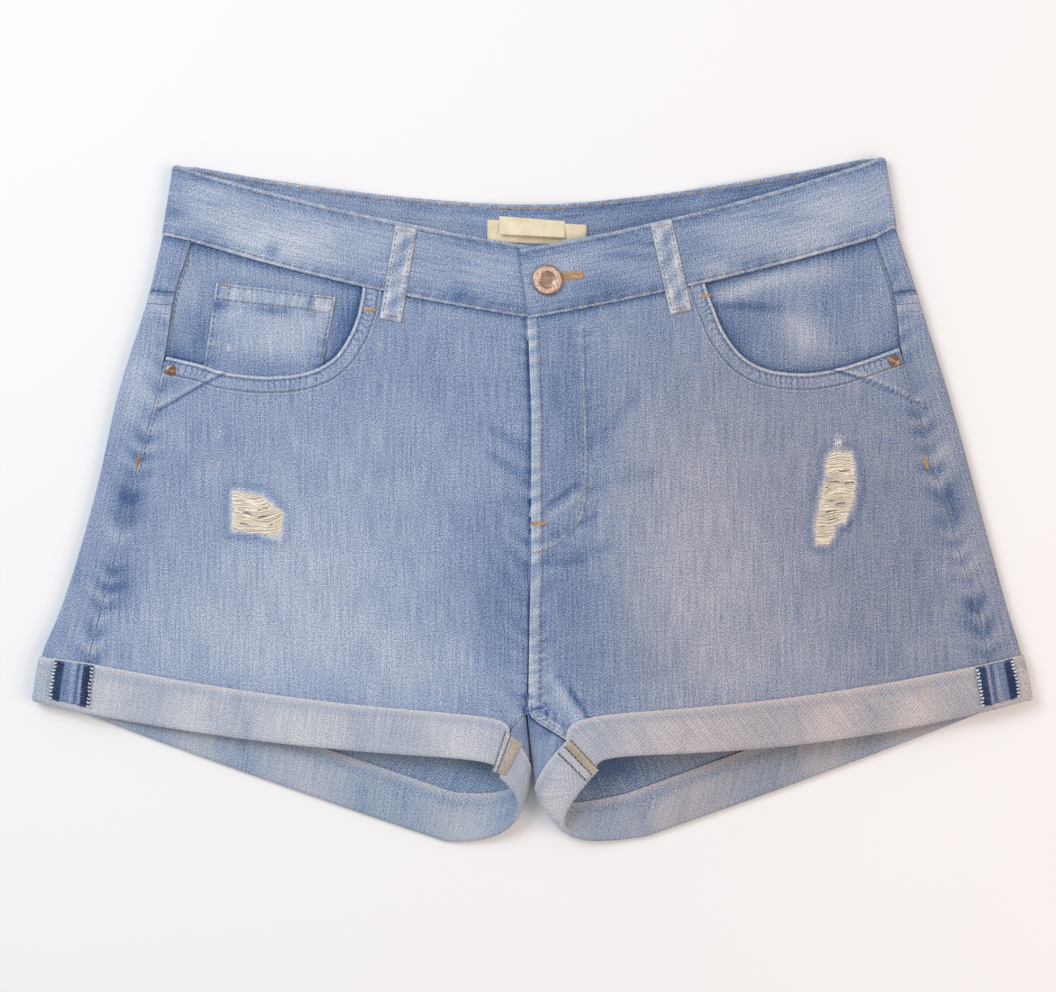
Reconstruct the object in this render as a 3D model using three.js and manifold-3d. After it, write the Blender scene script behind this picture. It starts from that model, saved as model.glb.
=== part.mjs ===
// A pair of women's turned-up denim shorts, five-pocket cut, laid flat on a table with the front up.
// Millimetres. +X is the wearer's left, +Y runs from hem to waist, +Z is up from the table.
// Every piece that a maker cuts is its own closed wall, 0.3 mm from the pieces that it is sewn to.
import * as THREE from "three";
import { mergeVertices } from "three/addons/utils/BufferGeometryUtils.js";
import Module from "manifold-3d";

// Cloth and clearances
const denim = 1.2; // one ply of denim
const bandWall = 2.2; // waistband, two plies pressed together
const turnUpPly = 1.0; // each ply of the turn-up
const seamGap = 0.3; // between neighbouring pieces
const halfSeam = seamGap / 2;
const stackStep = denim + seamGap; // from one ply's middle to the next ply's middle

// Trim
const loopWidth = 12.5;
const loopPly = 1.2;
const buttonRadius = 8.6;
const buttonHeight = 2.6;
const rivetRadius = 3.3;
const rivetHeight = 1.1;
const coinPocketPly = 1.0;
const patchPly = 1.2; // back pockets
const labelPly = 1.0;

// Where the turn-up begins, as a share of the way from the waist seam to the hem fold,
// and how deep the leg reaches into it
const turnUpTop = 0.893;
const legEnd = 0.955;
const turnUpFloor = 0.968;

// A table with named columns, one row for each section
const table = (columns, rows) =>
  rows.map((row) => Object.fromEntries(columns.split(" ").map((name, i) => [name, row[i]])));

// Sections of the top sheet, from the waist seam to the fold of the turn-up. "out" is the distance
// from the centre line. seam is the side seam, fold the side edge of the flat garment, inner the
// centre front or the inseam. lift is how high the inner end lies above the back sheet, rise how
// high the side edge does, floor how high the back sheet's middle lies above the table. backSag
// bends the back's edge down between its ends. sag bends the top sheet's section down between its
// ends, and bulge pushes it up near the inner one.
const topColumns = "at seamOut seamY foldOut foldY innerOut innerY sag bulge lift rise floor backSag";
// Sections of the back sheet's inner end: back is where its flat part stops, under and over shape the
// inner fold of the leg, overLift is over's height as a share of lift, and joined is 0 at the centre
// back seam and 1 where the leg is a closed tube.
const backColumns = "at backOut backY underOut underY overOut overY overLift joined";

const halves = {
  right: {
    side: -1,
    top: table(topColumns, [
      [0.0, 193, 147, 209, 150, -3.6, 103, 4, 0, 7.0, 6.0, 0.6, 2],
      [0.12, 203, 115, 217, 116, -4.2, 75, 3, 0, 6.8, 6.0, 0.6, 1],
      [0.245, 208, 82, 227.8, 82, -5, 40, 2, 0, 6.8, 6.0, 0.6, 0],
      [0.335, 213, 58, 235, 58, -5, 12, 1, 0, 6.8, 6.0, 0.6, 0],
      [0.497, 225, 14, 244.7, 14, 0.5, -28, 0, 0, 6.6, 5.8, 0.6, 0],
      [0.664, 236, -31, 256.9, -31, 1.4, -71, -1, 0, 7.6, 5.6, 0.6, 0],
      [0.78, 244, -62, 267, -62, 3.5, -117, -1, 1, 10, 5.6, 0.8, 0],
      [turnUpTop, 251, -92, 277.6, -89, 13, -131, 4.3, 8, 14, 6.2, 1.9, 0],
      [1.0, 254, -120, 282, -114, 18, -156, 4.5, 9, 15.5, 6.2, 1.9, 1.3],
    ]),
    back: table(backColumns, [
      [0.0, 14, 129, 9, 129, 5, 129, 0.6, 0],
      [0.12, 14, 100, 9, 100, 5, 100, 0.6, 0],
      [0.245, 14, 68, 9, 68, 5, 68, 0.6, 0],
      [0.335, 14, 38, 9, 38, 5, 38, 0.6, 0],
      [0.497, 14, -12, 9, -12, 5, -12, 0.6, 0],
      [0.664, 15, -62, 9, -62, 5, -62, 0.6, 0],
      [0.78, 18, -110, 3.7, -113, 3.6, -116.5, 0.6, 1],
      [turnUpTop, 44, -166, -5, -170, -5.5, -150, 1, 1],
      [1.0, 49, -193.5, 9, -197, -4, -172, 1, 1],
    ]),
  },
  left: {
    side: 1,
    top: table(topColumns, [
      [0.0, 195, 149, 206.6, 154, -2.2, 103, 3, 0, 9.8, 6.0, 0.6, 2],
      [0.12, 206, 115, 219, 116, -1.2, 75, 3, 0, 9.4, 6.0, 0.6, 1],
      [0.245, 209.5, 86, 228.3, 86, 0, 40, 2, 0, 9.0, 6.0, 0.6, 0],
      [0.335, 217, 58, 237, 58, -0.3, 12, 1, 0, 8.8, 6.0, 0.6, 0],
      [0.497, 230, 14, 249.2, 14, -0.3, -28, 0, 0, 8.4, 5.8, 0.6, 0],
      [0.664, 243, -31, 261.3, -31, -1.3, -71, -1, 0, 8.2, 5.6, 0.6, 0],
      [0.78, 253, -62, 269.8, -62, -1.9, -117, 0, 2, 10, 5.6, 0.8, 0],
      [turnUpTop, 259, -92, 277.5, -88, 20, -135, 5, 12, 17, 6.2, 1.9, 0],
      [1.0, 263, -118, 283, -113.3, 36, -153, 7, 9, 19, 6.2, 1.9, 1.3],
    ]),
    back: table(backColumns, [
      [0.0, 14, 129, 9, 129, 5, 129, 0.6, 0],
      [0.12, 14, 100, 9, 100, 5, 100, 0.6, 0],
      [0.245, 14, 68, 9, 68, 5, 68, 0.6, 0],
      [0.335, 14, 38, 9, 38, 5, 38, 0.6, 0],
      [0.497, 14, -12, 9, -12, 5, -12, 0.6, 0],
      [0.664, 15, -62, 9, -62, 5, -62, 0.6, 0],
      [0.78, 16, -110, -1.7, -113, -1.8, -116.5, 0.6, 1],
      [turnUpTop, 56, -166, -7, -182, -6, -161, 1, 1],
      [1.0, 66, -190.5, 2, -202, 14, -176, 1, 1],
    ]),
  },
};

// The waistband's upper edge, with the same columns and the height of its middle at the centre back
const bandFloor = bandWall / 2;
const bandSetBack = 0.25; // its thick edge leans a little over the waist seam
const bandTopColumns = topColumns + " backY";
const bandTops = {
  right: table(bandTopColumns, [[1, 189, 186.4, 202.7, 190.5, -3.6, 143.9, 3, 0, 6.5, 5.5, bandFloor, 3, 168.7]])[0],
  left: table(bandTopColumns, [[1, 188, 191.5, 199.9, 195, -7.2, 142.5, 4, 0, 9.3, 5.5, bandFloor, 3, 168.7]])[0],
};
// The button end lies under the buttonhole end: how far it runs past the centre front as a share of
// the front's width, how steeply it rises there and how much lower it lies
const buttonEnd = { reach: 0.105, slope: 0.2, lower: 0.4 };

// Where the yoke seam crosses, as a share of the way down: at the side edge and at the centre back
const yokeSeam = { side: 0.135, centre: 0.235 };

// The largest soft folds of the top sheet: from one point to another, how high and how wide.
// Negative heights are troughs.
const folds = table("fromX fromY toX toY height width", [
  [8, -70, 30, -124, 1.6, 9],
  [22, -66, 52, -122, -1.2, 10],
  [-6, -60, -14, -120, 1.2, 10],
  [-60, -60, -120, -112, 1.3, 26],
  [70, -30, 150, -108, 1.4, 30],
  [-190, 40, -60, 20, 1.0, 22],
  [60, 36, 190, 30, 1.0, 22],
  [-210, -20, -150, -60, -0.9, 20],
  [170, -10, 215, -70, -0.9, 18],
]);

// Pocket mouths: the scooped edge of each front, from the side seam to the waist seam
const mouths = {
  right: table("x y", [
    [-214, 82.5], [-207, 82], [-188, 77.5], [-173, 73], [-150, 70.7], [-128, 73], [-113, 80.5],
    [-104, 92.5], [-99, 104.5], [-96.4, 116.5], [-95, 131],
  ]),
  left: table("x y", [
    [216, 87.5], [208, 86.8], [187, 79.3], [171, 74.7], [155, 72.5], [135.5, 74.2], [121, 81],
    [110, 94], [103.5, 108.5], [98.5, 122], [95, 136],
  ]),
};
// How much of each front's width its pocket facing covers, and how far down it reaches
const facingInner = { right: 0.44, left: 0.44 };
const facingLow = 0.31;
const facingClear = 0.1; // a little more room between facing and front than at other seams

const coinPocket = table("x y", [
  [-179, 124.3], [-110.8, 115.8], [-120.5, 66], [-187.5, 68],
]); // four corners: outer top, inner top, inner bottom, outer bottom

// Belt loops on the front: the middle of the top and bottom ends
const frontLoops = {
  right: { top: [-71, 155.3], bottom: [-80, 102.2] },
  left: { top: [73, 158], bottom: [84.5, 106.6] },
};
const backLoops = table("x y length", [
  [-122, 152, 48], [0, 142.5, 48], [122, 153, 48],
]); // centres; these lie between the waistband and the table
const button = { x: 8.8, y: 124.8 };
const rivets = { right: [-204.3, 74.1], left: [205.5, 79.2] };

// Back pockets: patches between the back panels and the table, a row for each corner of the
// wearer's left one
const backPocket = table("x y", [
  [52, 72], [176, 76], [168, -46], [115, -62], [60, -50],
]);

const label = { left: -25.4, right: 31.6, top: 158.6, bottom: 146.4, from: 5.6 };
const flap = { left: -18.5, right: 19, top: 160.6, bottom: 150.4, curl: 3.2, from: 5.6 };

// A smooth curve through the values of a table, one that doesn't swing past them
function through(at, values) {
  const slopes = at.slice(1).map((x, i) => (values[i + 1] - values[i]) / (x - at[i]));
  const tangents = values.map((_, i) => {
    if (i === 0) return slopes[0];
    if (i === values.length - 1) return slopes[i - 1];
    const [a, b] = [slopes[i - 1], slopes[i]];
    return a * b <= 0 ? 0 : (2 * a * b) / (a + b);
  });
  return (x) => {
    let i = 0;
    while (i < at.length - 2 && x > at[i + 1]) i++;
    const h = at[i + 1] - at[i];
    const t = (x - at[i]) / h;
    const [t2, t3] = [t * t, t * t * t];
    return (
      (2 * t3 - 3 * t2 + 1) * values[i] + (t3 - 2 * t2 + t) * h * tangents[i] +
      (3 * t2 - 2 * t3) * values[i + 1] + (t3 - t2) * h * tangents[i + 1]
    );
  };
}

// The whole table as one function of "at"
function sections(rows) {
  const at = rows.map((row) => row.at);
  const names = Object.keys(rows[0]).filter((name) => name !== "at");
  const curves = names.map((name) => through(at, rows.map((row) => row[name])));
  return (x) => Object.fromEntries(names.map((name, i) => [name, curves[i](x)]));
}

const mix = (a, b, t) => a + (b - a) * t;
const ease = (t) => (1 - Math.cos(Math.PI * t)) / 2;
const smooth = (edge0, edge1, x) => {
  const t = Math.min(Math.max((x - edge0) / (edge1 - edge0), 0), 1);
  return t * t * (3 - 2 * t);
};

// Height that the soft folds add to the top sheet
function foldHeight(x, y) {
  let height = 0;
  for (const fold of folds) {
    const [dx, dy] = [fold.toX - fold.fromX, fold.toY - fold.fromY];
    const length = Math.hypot(dx, dy);
    const along = ((x - fold.fromX) * dx + (y - fold.fromY) * dy) / length;
    const across = ((x - fold.fromX) * dy - (y - fold.fromY) * dx) / length;
    const past = Math.max(0, -along, along - length);
    height += fold.height * Math.exp(-((across / fold.width) ** 2) - (past / (1.5 * fold.width)) ** 2);
  }
  return height;
}

// Distance from a point to a polygon, 0 inside it
function distanceTo(corners, x, y) {
  let inside = false;
  let nearest = Infinity;
  corners.forEach((a, i) => {
    const b = corners[(i + 1) % corners.length];
    const [dx, dy] = [b.x - a.x, b.y - a.y];
    const t = Math.min(Math.max(((x - a.x) * dx + (y - a.y) * dy) / (dx * dx + dy * dy), 0), 1);
    nearest = Math.min(nearest, Math.hypot(x - a.x - t * dx, y - a.y - t * dy));
    if (a.y > y !== b.y > y && x < a.x + ((y - a.y) / dy) * dx) inside = !inside;
  });
  return inside ? 0 : nearest;
}

// How far the back sheet is lifted off the table by what lies under it: level to a little past the
// edge of what lies there, then down to nothing
function raisedBy(x, y) {
  let raised = stackStep * (1 - smooth(16, 34, distanceTo(backPocket, Math.abs(x), y)));
  for (const loop of backLoops) {
    const away = Math.hypot(
      Math.max(Math.abs(x - loop.x) - loopWidth / 2, 0),
      Math.max(Math.abs(y - loop.y) - loop.length / 2, 0),
    );
    raised = Math.max(raised, (loopPly + seamGap) * (1 - smooth(14, 28, away)));
  }
  return raised;
}

// A point of the garment's middle surface. around runs from the centre front or inseam (0) to the
// side seam (1), round the side edge to the table (2), across the back (3), and up to the centre
// back or, on a leg, round the inner fold to the inseam again (4).
const topStrip = 0.3;
const foldArc = 0.8;
const floorStrip = 10; // the first of the back sheet, which runs on level from the side edge
const stripSlope = 0.4; // its slope as a share of the slope further in

function bodyPoint(half, section, around) {
  const { side } = half;
  const top = section.top;
  const radius = top.rise / 2;
  const low = top.floor;
  const strip = top.foldOut - radius - top.seamOut;
  const foldX = top.foldOut - radius;
  let point;
  if (around <= 1) {
    const x = mix(top.innerOut, top.seamOut, around) * side;
    const dip = top.sag * 4 * around * (1 - around) - top.bulge * Math.sin(Math.PI * Math.max(around, 0) ** 0.3);
    const y = mix(top.innerY, top.seamY, around) - dip;
    const inland = smooth(0, 0.1, around) * smooth(1, 0.88, around);
    const z = low + mix(top.lift, top.rise, ease(around)) + foldHeight(x, y) * inland;
    return [x, y, z];
  }
  const back = section.back;
  if (around <= 1 + topStrip) {
    const t = (around - 1) / topStrip;
    point = [top.seamOut + strip * t, mix(top.seamY, top.foldY, t), low + top.rise];
  } else if (around <= 1 + foldArc) {
    const turn = (Math.PI * (around - 1 - topStrip)) / (foldArc - topStrip);
    point = [foldX + radius * Math.sin(turn), top.foldY, low + radius + radius * Math.cos(turn)];
  } else {
    const flatX = foldX - floorStrip;
    const slope = (top.foldY - back.backY) / (foldX - back.backOut);
    const floorY = top.foldY - floorStrip * slope * stripSlope;
    if (around <= 2) {
      const t = (around - 1 - foldArc) / (1 - foldArc);
      point = [mix(foldX, flatX, t), mix(top.foldY, floorY, t), low];
    } else if (around <= 3) {
      const t = around - 2;
      const y = mix(floorY, back.backY, t) - top.backSag * 4 * t * (1 - t);
      point = [mix(flatX, back.backOut, t), y, low];
    } else {
      const t = around - 3;
      const seamOut = mix(halfSeam, top.innerOut, back.joined);
      const seamY = mix(back.backY, top.innerY, back.joined);
      const corner = new THREE.CubicBezierCurve3(
        new THREE.Vector3(back.backOut, back.backY, low),
        new THREE.Vector3(back.underOut, back.underY, low),
        new THREE.Vector3(back.overOut, back.overY, low + back.overLift * top.lift * back.joined),
        new THREE.Vector3(seamOut, seamY, low + top.lift * back.joined),
      ).getPoint(t);
      point = [corner.x, corner.y, corner.z];
    }
    const x = point[0] * side;
    return [x, point[1], point[2] + raisedBy(x, point[1]) * (1 - smooth(3, 3.6, around) * back.joined)];
  }
  return [point[0] * side, point[1], point[2]];
}

function surfaceOf(half) {
  const top = sections(half.top);
  const back = sections(half.back);
  return (around, down) => bodyPoint(half, { top: top(down), back: back(down) }, around);
}

const bodies = { right: surfaceOf(halves.right), left: surfaceOf(halves.left) };

// The waistband's surface, up from the waist seam. Its lower edge is the body's own upper edge. Past
// the centre front it runs on as the button end.
function bandSurface(name) {
  const half = halves[name];
  const seam = half.top[0];
  const raisedFloor = bandFloor - seam.floor;
  const lower = { ...seam, lift: seam.lift - raisedFloor, rise: seam.rise - raisedFloor, floor: bandFloor };
  const lowerEdge = { ...lower, backY: half.back[0].backY };
  return (around, up) => {
    const columns = Object.keys(lowerEdge);
    const top = Object.fromEntries(columns.map((c) => [c, mix(lowerEdge[c], bandTops[name][c], up)]));
    const back = { ...half.back[0], backY: top.backY, underY: top.backY, overY: top.backY };
    const [x, y, z] = bodyPoint(half, { top, back }, Math.max(around, 0));
    const past = Math.max(-around, 0);
    const run = past * (top.seamOut - top.innerOut);
    return [
      x - run * half.side,
      y + run * buttonEnd.slope,
      z - buttonEnd.lower * smooth(0, buttonEnd.reach / 2, past),
    ];
  };
}

// Numbers from 0 to 1 in even steps
const steps = (count) => Array.from({ length: count + 1 }, (_, i) => i / count);

// A closed mesh from points and faces, turned so that its faces point out
function solidGeometry(points, faces) {
  const at = (i) => points[i];
  let volume = 0;
  for (const [a, b, c] of faces) volume += at(a).dot(at(b).clone().cross(at(c)));
  const ordered = volume < 0 ? faces.map(([a, b, c]) => [a, c, b]) : faces;
  const geometry = new THREE.BufferGeometry();
  geometry.setAttribute("position", new THREE.Float32BufferAttribute(points.flatMap((p) => p.toArray()), 3));
  geometry.setIndex(ordered.flat());
  return geometry;
}

const vector = (p) => new THREE.Vector3(...p);

// The direction square to a surface at a point of it
function normalOf(surface, around, down) {
  const step = 1e-3;
  const across = vector(surface(around + step, down)).sub(vector(surface(around - step, down)));
  const along = vector(surface(around, down + step)).sub(vector(surface(around, down - step)));
  return across.cross(along).normalize();
}

// A closed wall between two faces, each a grid of points
function wallBetween(upper, lower) {
  const [rows, columns] = [upper.length, upper[0].length];
  const id = (face, i, j) => face * rows * columns + i * columns + j;
  const faces = [];
  const quad = (a, b, c, d) => faces.push([a, b, c], [a, c, d]);
  for (let i = 0; i < rows - 1; i++)
    for (let j = 0; j < columns - 1; j++) {
      quad(id(0, i, j), id(0, i + 1, j), id(0, i + 1, j + 1), id(0, i, j + 1));
      quad(id(1, i, j), id(1, i, j + 1), id(1, i + 1, j + 1), id(1, i + 1, j));
    }
  for (let i = 0; i < rows - 1; i++) {
    quad(id(0, i + 1, 0), id(0, i, 0), id(1, i, 0), id(1, i + 1, 0));
    quad(id(0, i, columns - 1), id(0, i + 1, columns - 1), id(1, i + 1, columns - 1), id(1, i, columns - 1));
  }
  for (let j = 0; j < columns - 1; j++) {
    quad(id(0, 0, j), id(0, 0, j + 1), id(1, 0, j + 1), id(1, 0, j));
    quad(id(0, rows - 1, j + 1), id(0, rows - 1, j), id(1, rows - 1, j), id(1, rows - 1, j + 1));
  }
  return solidGeometry([...upper.flat(), ...lower.flat()], faces);
}

// A wall of cloth: a surface's points given a thickness. setBack is how far the wall's edges stay
// from their seam lines: first and last on the way round, top and bottom on the way down, each a
// distance or a function of the other way's stop.
function cloth(surface, arounds, downs, thickness, setBack = {}) {
  const distance = (edge, stop) => (typeof edge === "function" ? edge(stop) : (edge ?? 0));
  const pull = (p, towards, by) => p.addScaledVector(towards.clone().sub(p).normalize(), by);
  const [upper, lower] = [0.5, -0.5].map((share) => {
    const face = arounds.map((a) =>
      downs.map((d) =>
        vector(surface(a, d)).addScaledVector(normalOf(surface, a, d), share * thickness),
      ),
    );
    downs.forEach((d, j) => {
      pull(face[0][j], face[1][j], distance(setBack.first, d));
      pull(face.at(-1)[j], face.at(-2)[j], distance(setBack.last, d));
    });
    arounds.forEach((a, i) => {
      pull(face[i][0], face[i][1], distance(setBack.top, a));
      pull(face[i].at(-1), face[i].at(-2), distance(setBack.bottom, a));
    });
    return face;
  });
  return wallBetween(upper, lower);
}

// Stops round the garment, finer where it folds, and down it, finer by the crotch and the hem
const frontStops = [0, 0.025, 0.05, 0.08, 0.11, 0.15, 0.2, 0.27, 0.35, 0.43, 0.52, 0.61, 0.7, 0.8, 0.9, 1];
const wrapStops = [1, 1.15, 1.3, 1.4, 1.5, 1.6, 1.7, 1.8, 2];
const floorStops = steps(14).slice(1).map((t) => 2 + t);
const endStops = steps(12).slice(1).map((t) => 3 + t);
const backStops = [...wrapStops, ...floorStops, ...endStops];
const upperDowns = [0, 0.05, 0.1, 0.15, 0.2, 0.245];
const lowerDowns = [
  0.29, 0.335, 0.39, 0.44, 0.497, 0.55, 0.61, 0.664, 0.7, 0.735, 0.76, 0.78, 0.8, 0.83, 0.86,
  turnUpTop, mix(turnUpTop, 1, 0.5), legEnd,
];

// Looks: one material for each cloth or metal
const material = (color, roughness, metalness = 0) =>
  new THREE.MeshStandardMaterial({ color, roughness, metalness });
const washedDenim = material("#9fb4d2", 0.9);
const fadedDenim = material("#a9bbd6", 0.9);
const insideDenim = material("#b4b8be", 0.92);
const copper = material("#b98d6d", 0.35, 1);
const cream = material("#e6dcc3", 0.8);

const part = new THREE.Group();
function add(name, geometry, looks) {
  const mesh = new THREE.Mesh(geometry, looks);
  mesh.name = name;
  part.add(mesh);
  return mesh;
}

const wasm = await Module();
wasm.setup();

function toManifold(geometry) {
  const bare = geometry.clone();
  bare.deleteAttribute("normal");
  bare.deleteAttribute("uv");
  const merged = mergeVertices(bare, 1e-4);
  return new wasm.Manifold(
    new wasm.Mesh({
      numProp: 3,
      vertProperties: merged.attributes.position.array,
      triVerts: new Uint32Array(merged.index.array),
    }),
  );
}

function fromManifold(solid) {
  const mesh = solid.getMesh();
  const geometry = new THREE.BufferGeometry();
  geometry.setAttribute("position", new THREE.BufferAttribute(mesh.vertProperties, 3));
  geometry.setIndex(new THREE.BufferAttribute(mesh.triVerts, 1));
  return geometry;
}

// Where a leg is a closed tube its inseam is mitred: both edges stay back by what their bend needs
function inseamGap(name) {
  const joined = sections(halves[name].back);
  return (down) => {
    const at = (around) => vector(bodies[name](around, down));
    const front = at(0.03).sub(at(0));
    const back = at(3.97).sub(at(4));
    const bend = Math.PI - front.angleTo(back);
    return halfSeam + joined(down).joined * (denim / 2) * Math.tan(Math.min(bend, 2) / 2);
  };
}

// The part of a front that the scooped pocket mouth takes away, as an upright cutter that reaches
// past the front on its other sides
const cutter = { outer: 250, top: 200, depth: 60, below: 20, points: 26 };
function mouthCutter(name) {
  const edge = mouths[name].map((p) => new THREE.Vector2(p.x, p.y));
  const outer = cutter.outer * halves[name].side;
  const curve = new THREE.SplineCurve(edge.slice(1)).getPoints(cutter.points);
  const shape = new THREE.Shape([
    new THREE.Vector2(outer, edge[0].y),
    edge[0],
    ...curve,
    new THREE.Vector2(edge.at(-1).x, cutter.top),
    new THREE.Vector2(outer, cutter.top),
  ]);
  const geometry = new THREE.ExtrudeGeometry(shape, { depth: cutter.depth, bevelEnabled: false });
  geometry.translate(0, 0, -cutter.below);
  return toManifold(geometry);
}

// Front panels, each from the centre front to the side seam, with its pocket mouth scooped out
const fronts = {};
for (const name of ["right", "left"]) {
  const edges = { first: inseamGap(name), last: halfSeam, top: halfSeam };
  const whole = toManifold(cloth(bodies[name], frontStops, [...upperDowns, ...lowerDowns], denim, edges));
  fronts[name] = add("front_" + name, fromManifold(whole.subtract(mouthCutter(name))), washedDenim);
}

// Pocket facings: what shows inside the mouths. The coin pocket fits between facing and front.
const facingDrop = {
  right: (around, down) =>
    stackStep + facingClear + (coinPocketPly + seamGap) * smooth(0, 0.05, down) * smooth(1, 0.93, around),
  left: () => stackStep + facingClear,
};
const facings = {};
for (const name of ["right", "left"]) {
  const below = (around, down) => {
    const [x, y, z] = bodies[name](around, down);
    return [x, y, z - facingDrop[name](around, down)];
  };
  const arounds = [facingInner[name], ...frontStops.filter((t) => t > facingInner[name] + 0.02)];
  const downs = [...upperDowns, 0.29, facingLow];
  const edges = { last: halfSeam, top: halfSeam };
  facings[name] = add("pocket_facing_" + name, cloth(below, arounds, downs, denim, edges), fadedDenim);
}

// Yokes and back panels, each round the side edge to the side seam on the front
const seamLevel = (around) => mix(yokeSeam.side, yokeSeam.centre, smooth(1.8, 3, around));
for (const name of ["right", "left"]) {
  const yoke = (around, t) => bodies[name](around, t * seamLevel(around));
  const allRound = { first: halfSeam, last: halfSeam, top: halfSeam, bottom: halfSeam };
  add("yoke_" + name, cloth(yoke, backStops, steps(4), denim, allRound), washedDenim);
  const panel = (around, down) => bodies[name](around, Math.max(down, seamLevel(around)));
  const edges = { first: halfSeam, last: inseamGap(name), top: halfSeam };
  add("back_" + name, cloth(panel, backStops, [0, ...lowerDowns], denim, edges), washedDenim);
}

// Turn-ups: a strip folded round each leg's end, one ply outside and one inside
function turnUp(name) {
  const side = halves[name].side;
  const surface = bodies[name];
  const levels = [turnUpTop, mix(turnUpTop, 1, 0.5), turnUpFloor, mix(turnUpTop, 1, 0.93), 1];
  const [top, middle, floor, low, hem] = levels.keys();
  const inner = denim / 2 + seamGap;
  const outer = inner + turnUpPly;
  const profile = [
    [top, outer], [middle, outer], [low, outer], [hem, inner],
    [hem, -inner], [low, -outer], [middle, -outer], [top, -outer],
    [top, -inner], [middle, -inner], [floor, -inner],
    [floor, inner], [middle, inner], [top, inner],
  ];
  const ring = [...frontStops, ...backStops.slice(1, -1)];
  const points = ring.flatMap((around) =>
    profile.map(([level, offset]) => {
      const outward = normalOf(surface, around, levels[level]);
      if (around === 0) outward.add(normalOf(surface, 4, levels[level])).normalize();
      return vector(surface(around, levels[level])).addScaledVector(outward, -side * offset);
    }),
  );
  const count = profile.length;
  const faces = [];
  for (let i = 0; i < ring.length; i++)
    for (let k = 0; k < count; k++) {
      const next = (i + 1) % ring.length;
      const [a, b] = [i * count + k, i * count + ((k + 1) % count)];
      const [c, d] = [next * count + ((k + 1) % count), next * count + k];
      // the same diagonals as the leg's own wall has, so that the gap stays even
      if (profile[(k + 1) % count][0] >= profile[k][0]) faces.push([a, b, c], [a, c, d]);
      else faces.push([a, b, d], [b, c, d]);
    }
  return solidGeometry(points, faces);
}
for (const name of ["right", "left"]) add("turn_up_" + name, turnUp(name), insideDenim);

// Waistband: one strip from the button end round the back to the buttonhole end
const bandFloorStops = steps(22).slice(1).map((t) => 2 + t);
const bandHalf = [...frontStops, ...wrapStops.slice(1), ...bandFloorStops, 3.5, 4];
const pastCentre = [-buttonEnd.reach, -buttonEnd.reach * 0.75, -buttonEnd.reach / 2, -buttonEnd.reach / 4];
const bandStops = [...pastCentre, ...bandHalf, ...bandHalf.slice(0, -1).reverse().map((around) => 8 - around)];
const bandSurfaces = { right: bandSurface("right"), left: bandSurface("left") };
const bandRing = (around, up) =>
  around <= 4 ? bandSurfaces.right(around, up) : bandSurfaces.left(8 - around, up);
const bandGeometry = cloth(bandRing, bandStops, steps(3), bandWall, { top: bandSetBack });
const waistband = add("waistband", bandGeometry, washedDenim);

// Drops a point onto what lies below it, and gives the height of that surface
const ray = new THREE.Raycaster();
const downwards = new THREE.Vector3(0, 0, -1);
function heightOf(x, y, meshes, from = 100) {
  ray.set(new THREE.Vector3(x, y, from), downwards);
  const [hit] = ray.intersectObjects(meshes, false);
  return hit ? hit.point.z : -Infinity;
}
part.updateMatrixWorld(true);

// A strip laid on other pieces: its corners in plan, dropped onto them from a height and kept a
// seam gap clear, then lifted further by extra
function laidOn(meshes, corners, across, along, thickness, { from, extra = () => 0 } = {}) {
  const plan = (u, v) => {
    const top = [mix(corners[0][0], corners[1][0], u), mix(corners[0][1], corners[1][1], u)];
    const bottom = [mix(corners[3][0], corners[2][0], u), mix(corners[3][1], corners[2][1], u)];
    return [mix(top[0], bottom[0], v), mix(top[1], bottom[1], v)];
  };
  // Each point takes the highest seat within one cell of it, so that no facet cuts through
  const nearby = [-1, -0.5, 0, 0.5, 1];
  const seat = (u, v) => {
    const heights = nearby.flatMap((du) =>
      nearby.map((dv) => {
        const near = [u + du / across, v + dv / along].map((t) => Math.min(Math.max(t, 0), 1));
        return heightOf(...plan(...near), meshes, from);
      }),
    );
    return Math.max(...heights) + seamGap;
  };
  const face = (lift) =>
    steps(across).map((u) => steps(along).map((v) => vector([...plan(u, v), seat(u, v) + extra(u, v) + lift])));
  return wallBetween(face(thickness), face(0));
}

// Front belt loops, over the waistband and onto the front panel below it
for (const name of ["right", "left"]) {
  const { top, bottom } = frontLoops[name];
  const run = new THREE.Vector2(bottom[0] - top[0], bottom[1] - top[1]).normalize();
  const [ox, oy] = [(-run.y * loopWidth) / 2, (run.x * loopWidth) / 2];
  const corners = [
    [top[0] - ox, top[1] - oy], [top[0] + ox, top[1] + oy],
    [bottom[0] + ox, bottom[1] + oy], [bottom[0] - ox, bottom[1] - oy],
  ];
  const under = [waistband, fronts[name]];
  add("belt_loop_front_" + name, laidOn(under, corners, 3, 14, loopPly), fadedDenim);
}

// Back belt loops and back pockets: flat patches on the table, under the back
function flatPatch(corners, thickness) {
  const shape = new THREE.Shape(corners.map((p) => new THREE.Vector2(p.x, p.y)));
  return new THREE.ExtrudeGeometry(shape, { depth: thickness, bevelEnabled: false });
}
const backLoopNames = ["belt_loop_side_right", "belt_loop_centre_back", "belt_loop_side_left"];
backLoops.forEach((loop, i) => {
  const [w, h] = [loopWidth / 2, loop.length / 2];
  const corners = [
    { x: loop.x - w, y: loop.y - h }, { x: loop.x + w, y: loop.y - h },
    { x: loop.x + w, y: loop.y + h }, { x: loop.x - w, y: loop.y + h },
  ];
  add(backLoopNames[i], flatPatch(corners, loopPly), fadedDenim);
});
for (const name of ["right", "left"]) {
  const side = halves[name].side;
  add("back_pocket_" + name, flatPatch(backPocket.map((p) => ({ x: p.x * side, y: p.y })), patchPly), washedDenim);
}

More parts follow.
